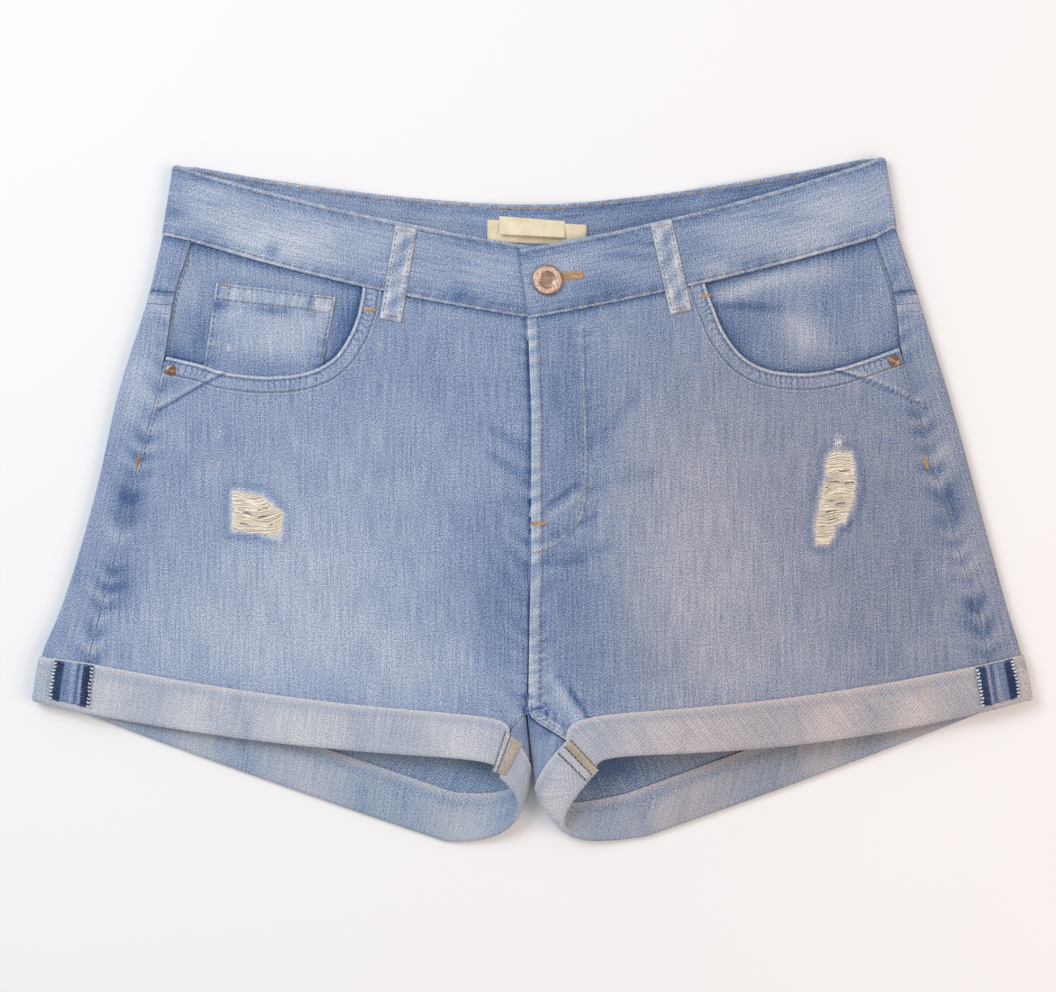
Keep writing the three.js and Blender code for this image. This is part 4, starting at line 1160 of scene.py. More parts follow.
band_patches = table("x y wide high amount", [
    [-150, 140, 60, 60, 0.26],
    [165, 145, 52, 60, 0.19],
    [-30, 125, 50, 60, 0.06],
    [-147, 142.5, 4, 3.5, -0.4],
    [-203, 163, 9, 3, -0.2],
    [-178, 168, 12, 3, -0.12],
    [-40, 117, 9, 5, -0.22],
    [-72, 131, 16, 4, 0.12],
    [64, 146, 12, 2.2, -0.22],
    [60, 138, 14, 2, -0.18],
    [107, 131, 12, 4, 0.14],
    [170, 147, 9, 4, 0.14],
    [40, 122, 14, 6, -0.1],
    [140, 161, 26, 2, -0.12],
])
lighter = 0
for p in rows_of(band_patches):
    spread = ((middle[..., 0] - p["x"]) / p["wide"]) ** 2 + ((middle[..., 1] - p["y"]) / p["high"]) ** 2
    lighter = lighter + p["amount"] * np.exp(-spread)
turned_edge = 0.08 * (1 - smooth(1.8, 3.2, row_up)) - 0.12 * bell(row_up - 5, 2.2)
frayed = tile(*[0.34 * smooth(2.4, 1.0, row_up)] * 2)
patchy = np.sin(length_along / 17 + 2.1 * np.sin(length_along / 41)) * np.sin(up * 6 + length_along / 29)
wear_and_shade = 0.44 + lighter + 0.5 * puffed + 0.2 * slub + 0.07 * patchy + turned_edge + 0.6 * seam_line
inner_wear = 0.41 + 0.4 * puffed + 0.4 * seam_line + 0.1 * slub + turned_edge
inner_wear = inner_wear - 0.07 * np.tanh(middle[..., 0] / 50)
grain = lengths(middle)
panels["waistband"] = make(
    "waistband_strip", points, faces, washed_denim, tile(grain[..., ::-1], grain[..., ::-1]),
    tile(wear_and_shade, inner_wear), ["waistband"], frayed,
)
# The belt loops
# Five loops, each a strip of denim folded in three and tacked at both ends: two over the waistband on
# the front and three on the back, between the waistband and the table.
front_loops = {"right": ([-71, 155.3], [-80, 102.2]), "left": ([73, 158], [84.5, 106.6])}
loop_ply = 1.2


def seat_of(*pieces):
    """How high the top of these pieces is over points in plan, in millimetres."""
    corner, polygon, start = [], [], 0
    for piece in pieces:
        mesh = piece.data
        places = np.zeros(len(mesh.vertices) * 3)
        mesh.vertices.foreach_get("co", places)
        corner.append(places.reshape(-1, 3) * 1000 - shift)
        ring = np.zeros(len(mesh.loops), np.int32)
        mesh.loops.foreach_get("vertex_index", ring)
        polygon += (ring.reshape(len(mesh.polygons), -1) + start).tolist()
        start += len(places) // 3
    tree = BVHTree.FromPolygons(np.concatenate(corner).tolist(), polygon)

    def height(x, y, start=90.0):
        found = []
        for px, py in zip(np.ravel(x), np.ravel(y)):
            hit = tree.ray_cast((px, py, start), (0, 0, -1))[0]
            found.append(hit[2] if hit else np.nan)
        return np.array(found).reshape(np.shape(x))

    return height


def filled(heights):
    """The same heights, with gaps between them filled along the line."""
    ok = ~np.isnan(heights)
    return np.interp(np.arange(len(heights)), np.flatnonzero(ok), heights[ok])


def draped(heights, reach):
    """The highest of the neighbours along the first axis, smoothed, as a stiff strip lies."""
    padded = np.pad(heights, ((reach, reach),) + ((0, 0),) * (heights.ndim - 1), mode="edge")
    highest = np.max([padded[k : k + len(heights)] for k in range(2 * reach + 1)], axis=0)
    padded = np.pad(highest, ((reach, reach),) + ((0, 0),) * (heights.ndim - 1), mode="edge")
    return np.mean([padded[k : k + len(heights)] for k in range(2 * reach + 1)], axis=0)


random = np.random.default_rng(7)
for name in names:
    top_end, bottom_end = (np.array(p, float) for p in front_loops[name])
    run = (bottom_end - top_end) / np.linalg.norm(bottom_end - top_end)
    beside = np.array([-run[1], run[0]])
    along = np.linspace(0, np.linalg.norm(bottom_end - top_end), 46)
    across = np.array(
        [-0.5, -0.485, -0.45, -0.4, -0.34, -0.27, -0.16, 0, 0.16, 0.27, 0.34, 0.4, 0.45, 0.485, 0.5]
    ) * loop_width
    plan = top_end + run * along[:, None, None] + beside * across[None, :, None]
    under = seat_of(panels["waistband"], panels["front_" + name])(plan[..., 0], plan[..., 1])
    under = np.stack([filled(column) for column in under.T], 1)
    under = np.max([np.roll(under, k, 1) for k in (-1, 0, 1)], axis=0)
    under = draped(under, 3) + 0.15
    edge = np.minimum(loop_width / 2 - np.abs(across), np.minimum(along, along[-1] - along)[:, None] + 0.02)
    full = np.sqrt(1 - (1 - np.clip(edge / 1.2, 0.02, 1)) ** 2)
    folded = 0.3 * bell(np.abs(across) - 4.6, 1.2) - 0.12 * bell(across, 1.6)
    ends = np.minimum(along, along[-1] - along)[:, None]
    lumps = 0.14 * np.sin(along[:, None] / 2.6 + across / 2.2) * np.sin(along[:, None] / 5.1)
    up_face = under + loop_ply * full + (folded + lumps) * full + 0.25 * (1 - smooth(3.5, 5, ends))
    outer = np.concatenate([plan, up_face[..., None]], -1)
    inner = np.concatenate([plan, under[..., None]], -1)
    points, faces = shell(outer, inner)
    wear_and_shade = 0.6 + 0.7 * folded * full + 1.7 * lumps + 0.1 * bell(edge, 1.1)
    wear_and_shade = wear_and_shade + 0.1 * bell(ends - 3, 2.5)
    frayed = 0.3 + 0.12 * bell(edge, 1.0) + 0 * lumps
    grain = np.stack([across + 0 * along[:, None], along[:, None] + 0 * across], -1) / 1000
    panels["loop_" + name] = make(
        "belt_loop_strip_front_" + name, points, faces, washed_denim, tile(grain, grain), tile(wear_and_shade, wear_and_shade),
        ["belt_loop_front_" + name], tile(frayed, frayed),
    )

back_loop_names = ["side_right", "centre_back", "side_left"]
for place, (loop_x, loop_y) in zip(back_loop_names, back_loops):
    across, along = np.meshgrid(
        stops(-loop_width / 2, loop_width / 2, loop_width, 1.2),
        stops(0, back_loop_length, back_loop_length, 1.6),
        indexing="ij",
    )
    plan = np.stack([loop_x + across, loop_y + back_loop_length / 2 - along], -1)
    full = rolled(plan)
    ends = np.minimum(along, back_loop_length - along)
    # the outer face lies on the table, with its rows of stitches sunk in
    sunk = -groove(np.abs(across) - 4.7, 0.6, 0.35) - groove(ends - 2.6, 0.6, 0.35)
    outer = np.concatenate([plan, (loop_ply / 2 * (1 - full) + sunk * full)[..., None]], -1)
    inner = np.concatenate([plan, (loop_ply / 2 * (1 + full))[..., None]], -1)
    points, faces = shell(outer, inner)
    wear_and_shade = 0.5 - 0.6 * sunk + 0.25 * (1 - smooth(0, 1.6, loop_width / 2 - np.abs(across)))
    grain = np.stack([across, along], -1) / 1000
    panels["loop_" + place] = make(
        "belt_loop_strip_" + place, points, faces, washed_denim, tile(grain, grain), tile(wear_and_shade, wear_and_shade),
        ["belt_loop_" + place],
    )

# The back pockets
# Two plain patch pockets of the same denim on the seat, with a turned hem at the top and two rows of
# stitches round the sides and the point. Their outer faces lie on the table.
for name in names:
    side = halves[name]["side"]
    across, down = np.meshgrid(stops(0, 1, 116, 2), stops(0, 1, 128, 2), indexing="ij")
    top_line = mix(back_pocket[0], back_pocket[1], across[..., None])
    low_x = mix(back_pocket[4, 0], back_pocket[2, 0], across)
    low_line = np.stack([low_x, np.interp(low_x, back_pocket[[4, 3, 2], 0], back_pocket[[4, 3, 2], 1])], -1)
    plan = mix(top_line, low_line, down[..., None])
    full = rolled(plan)
    from_top = down * 124
    round_edge = nearest_on(back_pocket[[0, 4, 3, 2, 1]], plan[..., 0], plan[..., 1])[0]
    rows = (round_edge - 2.2, round_edge - 8.4, np.where(round_edge > 2, from_top - 13, 9))
    sunk = -sum(groove(row, 0.7, 0.35) for row in rows)
    plan = plan * [side, 1]
    outer = np.concatenate([plan, (denim / 2 * (1 - full) + sunk * full)[..., None]], -1)
    inner = np.concatenate([plan, (denim / 2 * (1 + full))[..., None]], -1)
    points, faces = shell(outer, inner)
    wear_and_shade = 0.5 - 0.5 * sunk + 0.22 * (1 - smooth(0, 1.8, np.minimum(round_edge, from_top)))
    wear_and_shade = wear_and_shade + 0.14 * bell(np.hypot(plan[..., 0] * side - 115, plan[..., 1] - 8), 42)
    panels["back_pocket_" + name] = make(
        "back_pocket_patch_" + name, points, faces, washed_denim, tile(plan, plan) / 1000, tile(wear_and_shade, wear_and_shade),
        ["back_pocket_" + name],
    )

# The coin pocket
# A small patch pocket of the same denim on the right facing, with a hem at its top under two rows of
# stitches, a square tack at the hem's inner end and single rows down its sides.
coin_corners = np.array([[-179, 124.3], [-110.8, 115.8], [-120.5, 66], [-187.5, 68]])
coin_ply = 1.0
coin_width, coin_length = 68, 55
u, v = np.meshgrid(stops(0, 1, 68, 1.5), stops(0, 1, 57, 1.5), indexing="ij")
top_line = mix(coin_corners[0], coin_corners[1], u[..., None])
bottom_line = mix(coin_corners[3], coin_corners[2], u[..., None])
plan = mix(top_line, bottom_line, v[..., None])
facing_height = seat_of(panels["facing_right"])
under = facing_height(plan[..., 0], plan[..., 1])
under = np.stack([filled(row) for row in under]) + 0.25
from_top = v * coin_length
from_side = np.minimum(u, 1 - u) * coin_width
full = rolled(np.concatenate([plan, under[..., None]], -1))
hem_top = 0.35 * (1 - smooth(9.6, 10.6, from_top))
rows = groove(from_top - 1.6, 0.6, 0.22) + groove(from_top - 9.2, 0.7, 0.3)
rows = rows + groove(from_side - 1.8, 0.7, 0.25)
rows = rows + 0.6 * groove(from_side - 8.2, 0.6, 0.2)
puffed = 0.1 * np.sin(u * 80 + 2 * np.sin(u * 17) + v * 9) * bell(from_top - 5, 4)
puffed = puffed + 0.12 * np.sin(v * 36 + 2 * np.sin(v * 9)) * bell(from_side, 6)
up_face = under + coin_ply * full + hem_top + rows + puffed
outer = np.concatenate([plan, up_face[..., None]], -1)
inner = np.concatenate([plan, under[..., None]], -1)
points, faces = shell(outer, inner)
wear_and_shade = 0.64 + 0.9 * puffed + 0.5 * rows + 0.12 * bell(from_side, 1.2) - 0.24 * smooth(30, 48, from_top)
below_hem = 0.3 * (0.75 + 0.5 * np.sin(u * 14 + 1)) * bell(from_top - 12.4, 2.4)
wear_and_shade = wear_and_shade - below_hem * (u < 0.86) + 0.05 * np.sin(u * 9) * np.sin(v * 7 + 1)
wear_and_shade = wear_and_shade - 0.2 * smooth(0.84, 0.97, u) * smooth(0.25, 0.5, v) - 0.12 * bell(u - 0.06, 0.05)
# a dark patch of unfaded blue beside the tack, its worn middle and one rubbed spot on the body
wear_and_shade = wear_and_shade - 0.5 * bell(u - 0.79, 0.022) * bell(v - 0.1, 0.09)
wear_and_shade = wear_and_shade + 0.25 * bell(u - 0.9, 0.04) * bell(v - 0.11, 0.06)
spot = bell(plan[..., 0] + 171.9, 1.5) * bell(plan[..., 1] - 87.2, 3.2)
frayed = np.maximum(0.75 * spot, 0.55 * bell(u - 0.9, 0.035) * bell(v - 0.11, 0.05))
frayed = np.maximum(frayed, 0.2 * smooth(10.5, 8.5, from_top) * smooth(0.8, 0.76, u))
panels["coin"] = make(
    "coin_pocket_patch", points, faces, washed_denim, tile(plan, plan) / 1000, tile(wear_and_shade, wear_and_shade),
    ["coin_pocket"], tile(frayed, frayed),
)

# The topstitching
# Cotton-wrapped thread, faded to nearly the colour of the cloth, in stitches 2.7 mm long. Tacks, loop
# ends and the buttonhole are sewn in the old tan colour.
def thread(name, hex_dark, hex_light):
    material, tree, shader = new_material(name, Roughness=0.8)
    shader.inputs["Specular IOR Level"].default_value = 0.25
    place = add_node(tree, "TexCoord").outputs["Object"]
    fuzz = add_node(tree, "TexNoise", {"Vector": place, "Scale": 900, "Detail": 2.0})
    patchy = add_node(tree, "TexNoise", {"Vector": place, "Scale": 60, "Detail": 2.0})
    total = add_node(tree, "Math", {0: fuzz.outputs["Fac"], 1: patchy.outputs["Fac"]}, operation="MULTIPLY")
    ramp = add_node(tree, "ValToRGB", {"Fac": total.outputs[0]})
    for element, at, colour in zip(ramp.color_ramp.elements, (0.12, 0.42), (hex_dark, hex_light)):
        element.position = at
        element.color = linear(colour)
    tree.links.new(ramp.outputs["Color"], shader.inputs["Base Color"])
    bump = add_node(tree, "Bump", {"Height": fuzz.outputs["Fac"], "Strength": 0.6, "Distance": 0.0002})
    tree.links.new(bump.outputs["Normal"], shader.inputs["Normal"])
    return material


tonal_thread = thread("tonal_topstitch_thread", "#636b7d", "#94949a")
tan_thread = thread("tan_tack_thread", "#9a7a58", "#cfae86")
rust_thread = thread("rust_crotch_thread", "#625a5e", "#978c8b")
# how far above the table the middle of a row of stitches on the back lies
on_table = 0.56
ring_turn = np.linspace(0, 2 * np.pi, 5, endpoint=False)


def tubes(rings, ups, radii):
    """Tubes with five sides: rings holds their centres, tube by tube."""
    count, steps = rings.shape[:2]
    ahead = np.gradient(rings, axis=1)
    ahead /= np.maximum(np.linalg.norm(ahead, axis=-1, keepdims=True), 1e-9)
    beside = np.cross(ahead, np.broadcast_to(ups, rings.shape))
    beside /= np.maximum(np.linalg.norm(beside, axis=-1, keepdims=True), 1e-9)
    over = np.cross(beside, ahead)
    radii = np.broadcast_to(radii, (count, steps))[..., None, None]
    turn = ring_turn[None, None, :, None]
    points = rings[:, :, None, :] + radii * (
        np.cos(turn) * beside[:, :, None] + np.sin(turn) * over[:, :, None]
    )
    index = np.arange(count * steps * 5).reshape(count, steps, 5)
    a, b = index[:, :-1], index[:, 1:]
    faces = np.stack([a, np.roll(a, -1, 2), np.roll(b, -1, 2), b], -1).reshape(-1, 4)
    return points.reshape(-1, 3), faces


def row_of_stitches(line, up=(0, 0, 1), length=2.7, gap=0.65, radius=0.3):
    """Stitches along a line of points on the cloth, each an arc that dips in at both ends."""
    line = np.asarray(line, float)
    along = np.concatenate([[0], np.cumsum(np.linalg.norm(np.diff(line, axis=0), axis=1))])
    count = max(1, int(along[-1] // (length + gap)))
    start = np.arange(count) * (along[-1] / count)
    at = start[:, None] + length * np.array([0, 0.14, 0.5, 0.86, 1])
    centre = np.stack([np.interp(at, along, line[:, k]) for k in range(3)], -1)
    if np.ndim(up) == 2:
        ups = np.stack([np.interp(at, along, np.asarray(up)[:, k]) for k in range(3)], -1)
    else:
        ups = np.broadcast_to(np.array(up, float), centre.shape)
    lift = radius * np.array([-0.9, 0.3, 0.55, 0.3, -0.9])
    return tubes(centre + ups * lift[None, :, None], ups, radius * np.array([0.35, 0.9, 1, 0.9, 0.35]))


def bar_tack(centre, along, length=9, width=1.9, height=None, up=(0, 0, 1), pitch=0.55, radius=0.3):
    """A tack: threads side by side across a line."""
    centre, along, up = (np.array(p, float) for p in (centre, along, up))
    along /= np.linalg.norm(along)
    across = np.cross(up, along)
    at = np.arange(-length / 2, length / 2, pitch)
    swing = np.array([-0.5, -0.42, 0, 0.42, 0.5]) * width
    uneven = 1 + 0.25 * random.uniform(-1, 1, len(at))
    places = centre + along * at[:, None, None] + across * (swing[None, :] * uneven[:, None])[..., None]
    places = places + along * (np.array([-0.2, -0.1, 0, 0.1, 0.2]) * pitch)[None, :, None]
    lift = np.array([-0.25, 0.2, 0.3, 0.2, -0.25])
    return tubes(places + up * lift[None, :, None], up, radius)


def sewn(name, parts, material):
    start, points, faces = 0, [], []
    for p, f in parts:
        points.append(p)
        faces.append(f + start)
        start += len(p)
    return make(name, np.concatenate(points), np.concatenate(faces), material)


top_pieces = [panels[k] for k in panels if not k.startswith(("turn", "back_pocket"))]
top_height = seat_of(*top_pieces)


def laid(line, step=1.2, start=90.0):
    """A line in plan, dropped onto the top of the garment."""
    line = evenly(line, step)
    heights = filled(top_height(line[:, 0], line[:, 1], start))
    return np.column_stack([line[:, :2], heights])


def beside_line(line, away):
    """A line in plan moved sideways."""
    run = np.gradient(line[:, :2], axis=0)
    run /= np.linalg.norm(run, axis=1, keepdims=True)
    return line[:, :2] + np.stack([run[:, 1], -run[:, 0]], 1) * away


tonal, tan, rust = [], [], []
for name in names:
    side = halves[name]["side"]
    mouth = mouth_lines[name]
    for away in (2.1, 9.2):
        moved = beside_line(mouth, away * -side)
        if moved[20, 1] > mouth[20, 1]:
            moved = beside_line(mouth, away * side)
        a, d = on_top(name, moved[:, 0], moved[:, 1])
        moved = moved[(a < 0.985) & (d > 0.004)]
        tonal.append(row_of_stitches(laid(moved)))
    seam = side_seams[name]
    sewn_part = seam[(seam[:, 1] < 140) & (seam[:, 1] > 12)]
    tonal.append(row_of_stitches(laid(sewn_part[:, :2] + np.array([-side * 1.9, 0]))))
    tonal.append(row_of_stitches(laid(darts[name]), length=7, gap=0.1, radius=0.18))
    seam_tack = laid(np.array([[side * 223.5, 21.5], [side * 223.6, 21]]))[0]
    tan.append(bar_tack(seam_tack, (0.25 * side, -1, 0), 7, 1.6))
    top_end, bottom_end = (np.array(p, float) for p in front_loops[name])
    run = (bottom_end - top_end) / np.linalg.norm(bottom_end - top_end)
    beside = np.array([-run[1], run[0]])
    for end, inward_by in ((top_end, 2.6), (bottom_end, -2.6)):
        centre = end + run * inward_by
        line = laid(np.array([centre - beside * 4.6, centre + beside * 4.6]), 0.6)
        tan.append(row_of_stitches(line, length=1.5, gap=0.25, radius=0.34))
    for offset in (-4.7, 4.7):
        along_edge = np.array([top_end + run * 3.5, bottom_end - run * 3.5]) + beside * offset
        line = laid(along_edge)
        tonal.append(row_of_stitches(line, radius=0.24))

    # the yoke seam, from the side seam round to the centre back
    for off in (-5.2, 5.2):
        around = np.linspace(1.02, 2.97, 300)
        middle, normal, added, _, _ = wrapped(name, around, yoke_level(around) + off / leg_length)
        out = denim / 2 + added - 0.22 * smooth(-0.5, -0.9, normal[..., 2])
        tonal.append(row_of_stitches(middle + normal * out[:, None], normal))
    # the back pocket's two rows and its hem's row, on the face that lies on the table
    rim = np.array([back_pocket[k] for k in (0, 4, 3, 2, 1)])
    for away in (2.2, 8.4):
        row = beside_line(evenly(rim, 1.5), -away)
        row = row[inside(back_pocket, row[:, 0], row[:, 1])]
        row = row[np.abs(nearest_on(rim, row[:, 0], row[:, 1])[0] - away) < 0.35]
        row = np.column_stack([row * [side, 1], np.full(len(row), on_table)])
        tonal.append(row_of_stitches(row, (0, 0, -1)))
    hem_row = np.array([[57.0, 59.2], [172.0, 63.0]])
    tonal.append(row_of_stitches(
        evenly(np.column_stack([hem_row * [side, 1], [on_table, on_table]]), 1.5), (0, 0, -1),
    ))

# the centre-back seam and the loops on the back
for across in (1.8, 6.8):
    y = bodies["left"](3.0, np.linspace(0.01, 0.66, 200))[:, 1]
    x = np.full(200, across)
    tonal.append(row_of_stitches(np.column_stack([x, y, raised_by(x, y) + on_table]), (0, 0, -1)))
for loop_x, loop_y in back_loops:
    for across in (-4.7, 4.7):
        ends = np.array(
            [[loop_x + across, loop_y + 20, on_table], [loop_x + across, loop_y - 20, on_table]]
        )
        tonal.append(row_of_stitches(evenly(ends, 1.5), (0, 0, -1)))
    for along in (-1, 1):
        place = loop_y + along * (back_loop_length / 2 - 2.6)
        ends = np.array([[loop_x - 4.6, place, on_table], [loop_x + 4.6, place, on_table]])
        tan.append(row_of_stitches(evenly(ends, 0.6), (0, 0, -1), length=1.5, gap=0.25, radius=0.34))

# the fly and the crotch seam
fly_edge = centre_fronts["left"][:, :2]
shown = fly_edge[(fly_edge[:, 1] < 101) & (fly_edge[:, 1] > -118)]
tonal.append(row_of_stitches(laid(shown[shown[:, 1] > -40] + np.array([6.3, 0]))))
rust.append(row_of_stitches(laid(shown[shown[:, 1] < -40] + np.array([6.3, 0]))))
tonal.append(row_of_stitches(laid(fly_row)))
# the crossing, and the felled inseam of the left leg from there to the turn-up
inseam = bodies["left"](0.0, np.linspace(0.79, 0.885, 20))[:, :2]
for across in (1.3, 3.6):
    tonal.append(row_of_stitches(laid(inseam + np.array([0.62, 0.78]) * across)))
tonal.append(row_of_stitches(laid(beside_line(fly_row, 2.4)[6:-14])))
tan.append(bar_tack(laid(np.array([[4.2, -12.6], [4.3, -12.6]]))[0], (1, 0, 0), 8.5, 1.7))

# both edges of the waistband, outside and inside
near = stitch_inset / 40.5
for level in (near, 1 - near):
    run = np.linspace(-button_end["reach"] + 0.012, 8 - 0.013, 620)
    middle = band(run, np.full(run.shape, level))
    across = band(run + step, level) - band(run - step, level)
    rising = band(run, level + step) - band(run, level - step)
    ups = np.cross(across, rising)
    ups /= np.linalg.norm(ups, axis=-1, keepdims=True)
    ups = ups if ups[60, 2] > 0 else -ups
    out = band_wall / 2 - 0.2 - 0.36 * smooth(-0.5, -0.9, ups[:, 2])
    tonal.append(row_of_stitches(middle + ups * out[:, None], ups))
    (tan if level > 0.5 else tonal).append(row_of_stitches(middle - ups * (band_wall / 2 - 0.2), -ups))

# the coin pocket's hem, sides and square tack
def coin_at(u, v):
    return mix(mix(coin_corners[0], coin_corners[1], u), mix(coin_corners[3], coin_corners[2], u), v)


hem_row, hem_foot = 1.6 / coin_length, 9.2 / coin_length
side_row, tack_row = 1.8 / coin_width, 8.2 / coin_width
coin_rows = [
    [(0.02, hem_row), (0.98, hem_row)],
    [(0.02, hem_foot), (0.86, hem_foot)],
    [(side_row, 0.02), (side_row, 0.98)],
    [(1 - side_row, 0.2), (1 - side_row, 0.98)],
    [(tack_row, 0.02), (tack_row, 0.2)],
]
for a, b in coin_rows:
    tonal.append(row_of_stitches(laid(np.array([coin_at(*a), coin_at(*b)]))))
tan.append(
    row_of_stitches(
        laid(np.array([coin_at(0.015, 0.012), coin_at(0.12, 0.012)]), 0.8), length=1.9, gap=0.35
    )
)
square = [
    coin_at(0.83, 0.025), coin_at(0.975, 0.025), coin_at(0.975, 0.19), coin_at(0.83, 0.19),
    coin_at(0.83, 0.025)
]
for a, b in zip(square[:-1], square[1:]):
    tan.append(row_of_stitches(laid(np.array([a, b]), 0.8), length=1.9, gap=0.35, radius=0.34))
for name, tack in (("right", [-91.5, 108.5]), ("left", [98, 116])):
    line = laid(np.array([tack, [tack[0] + 0.1, tack[1]]]))
    tan.append(bar_tack(line[0], (1, 0.15 * halves[name]["side"], 0), 7, 1.5))

# the buttonhole: close stitches round a slit, running from under the button
slit_from, slit_to = np.array([12.0, 126.0]), np.array([28.5, 128.2])
for offset, radius in ((1.1, 0.34), (-1.1, 0.34)):
    run = np.linspace(0, 1, 34)[:, None]
    centre = mix(slit_from, slit_to, run) + np.array([0, offset]) + np.column_stack(
        [0 * run, 0.25 * np.sin(run * 19)]
    )
    for place in laid(centre, 0.55):
        tan.append(bar_tack(place, (1, 0.13, 0), 0.5, 2.0, radius=radius, pitch=0.5))
tan.append(bar_tack(laid(np.array([slit_to, slit_to + 0.1]))[0], (0.13, -1, 0), 3.4, 1.6))

sewn("topstitching_tonal", tonal, tonal_thread)
sewn("tacks_and_buttonhole_tan", tan, tan_thread)
sewn("crotch_rows_rust", rust, rust_thread)

# The weft of the rips
# Where the warp has worn away, the white weft threads still cross the rip, loose and uneven, and some
# ends stand out round its edge.
weft_thread = thread("bleached_weft_thread", "#d6cab2", "#f5eddd")
weft = []
for name in names:
    low, high = rips[name].min(0), rips[name].max(0)
    across = np.linspace(low[0] - 3, high[0] + 3, 110)
    for y in np.arange(low[1] + 0.4, high[1], 0.92):
        crossing = across[torn_by(name, across, np.full(110, y)) > -0.6]
        if len(crossing) < 8:
            continue
        x = np.linspace(crossing[0] - random.uniform(0.2, 1.4), crossing[-1] + random.uniform(0.2, 1.4), 12)
        sway = random.uniform(0.1, 0.4) * np.sin(x / random.uniform(1.8, 3.5) + random.uniform(0, 6))
        # threads sag in bundles, as the warp that held them is gone
        bundle = 1.5 * np.sin(x / 4.6 + y / 2.9) * np.sin(y / 4.3 + 1) * np.sin(np.linspace(0, np.pi, 12))
        slant = 0.012 * (x + 156) ** 2 - 0.7 if name == "right" else 0.13 * (x - 174)
        y_line = y + sway + bundle + slant + random.uniform(-0.4, 0.4)
        z = filled(top_height(x, y_line)) + 0.3 + 0.3 * np.sin(
            np.linspace(0, np.pi, 12) * random.integers(1, 4)
        ) ** 2
        z[[0, -1]] -= 0.45
        weft.append(tubes(np.column_stack([x, y_line, z])[None], (0, 0, 1), random.uniform(0.28, 0.44)))
    rim = evenly(np.vstack([rips[name], rips[name][:1]]), 1.6)
    for px, py in rim:
        turn, reach = random.uniform(0, 2 * np.pi), random.uniform(0.6, 1.7)
        x = px + np.cos(turn) * np.linspace(-0.4, reach, 5)
        y_line = py + np.sin(turn) * np.linspace(-0.4, reach, 5) + 0.2 * np.sin(np.linspace(0, 3, 5))
        z = filled(top_height(x, y_line)) + np.array([0, 0.25, 0.35, 0.3, 0.1])
        weft.append(tubes(np.column_stack([x, y_line, z])[None], (0, 0, 1), 0.2))
sewn("weft_of_the_rips", weft, weft_thread)

# short dark threads between the weft threads: painted shade, standing for the dark slits into the cloth
# under the rip
shade_slits = table("x y length rise", [
    [176.6, 17, 7, 1.2],
    [180, 10.3, 5, 0.9],
    [171.5, 11, 6, -0.3],
    [175, -1.3, 5, 0.5],
    [169, 0.4, 3.5, -0.6],
    [168, 7.3, 2.5, -0.5],
    [171.2, -10.3, 5, 0.7],
    [169.7, -5.9, 6, 1.2],
    [165.4, -14.6, 2, 0.5],
    [-148, -13.7, 2.6, 1.2],
    [-152, -4.5, 6, 1.4],
    [-152.8, -9.3, 5, 1.2],
    [-162.8, -13.2, 5, -0.8],
    [-161, -7, 6, -1.2],
    [-164.5, -4.5, 3, -0.5],
])
shade_slit_tubes = []
for x, y, length, rise in zip(*shade_slits.values()):
    t = np.linspace(-0.5, 0.5, 7)
    run = np.column_stack([x + length * t, y + rise * t + 0.5 * np.cos(np.pi * t) - 0.3])
    z = filled(top_height(run[:, 0], run[:, 1])) + 0.62
    shade_slit_tubes.append(tubes(np.column_stack([run, z])[None], (0, 0, 1), 0.32))
shade_slit_thread = thread("painted_shade_slit_thread", "#3e3f45", "#7b7468")
sewn("painted_shade_slits_in_the_rips", shade_slit_tubes, shade_slit_thread)

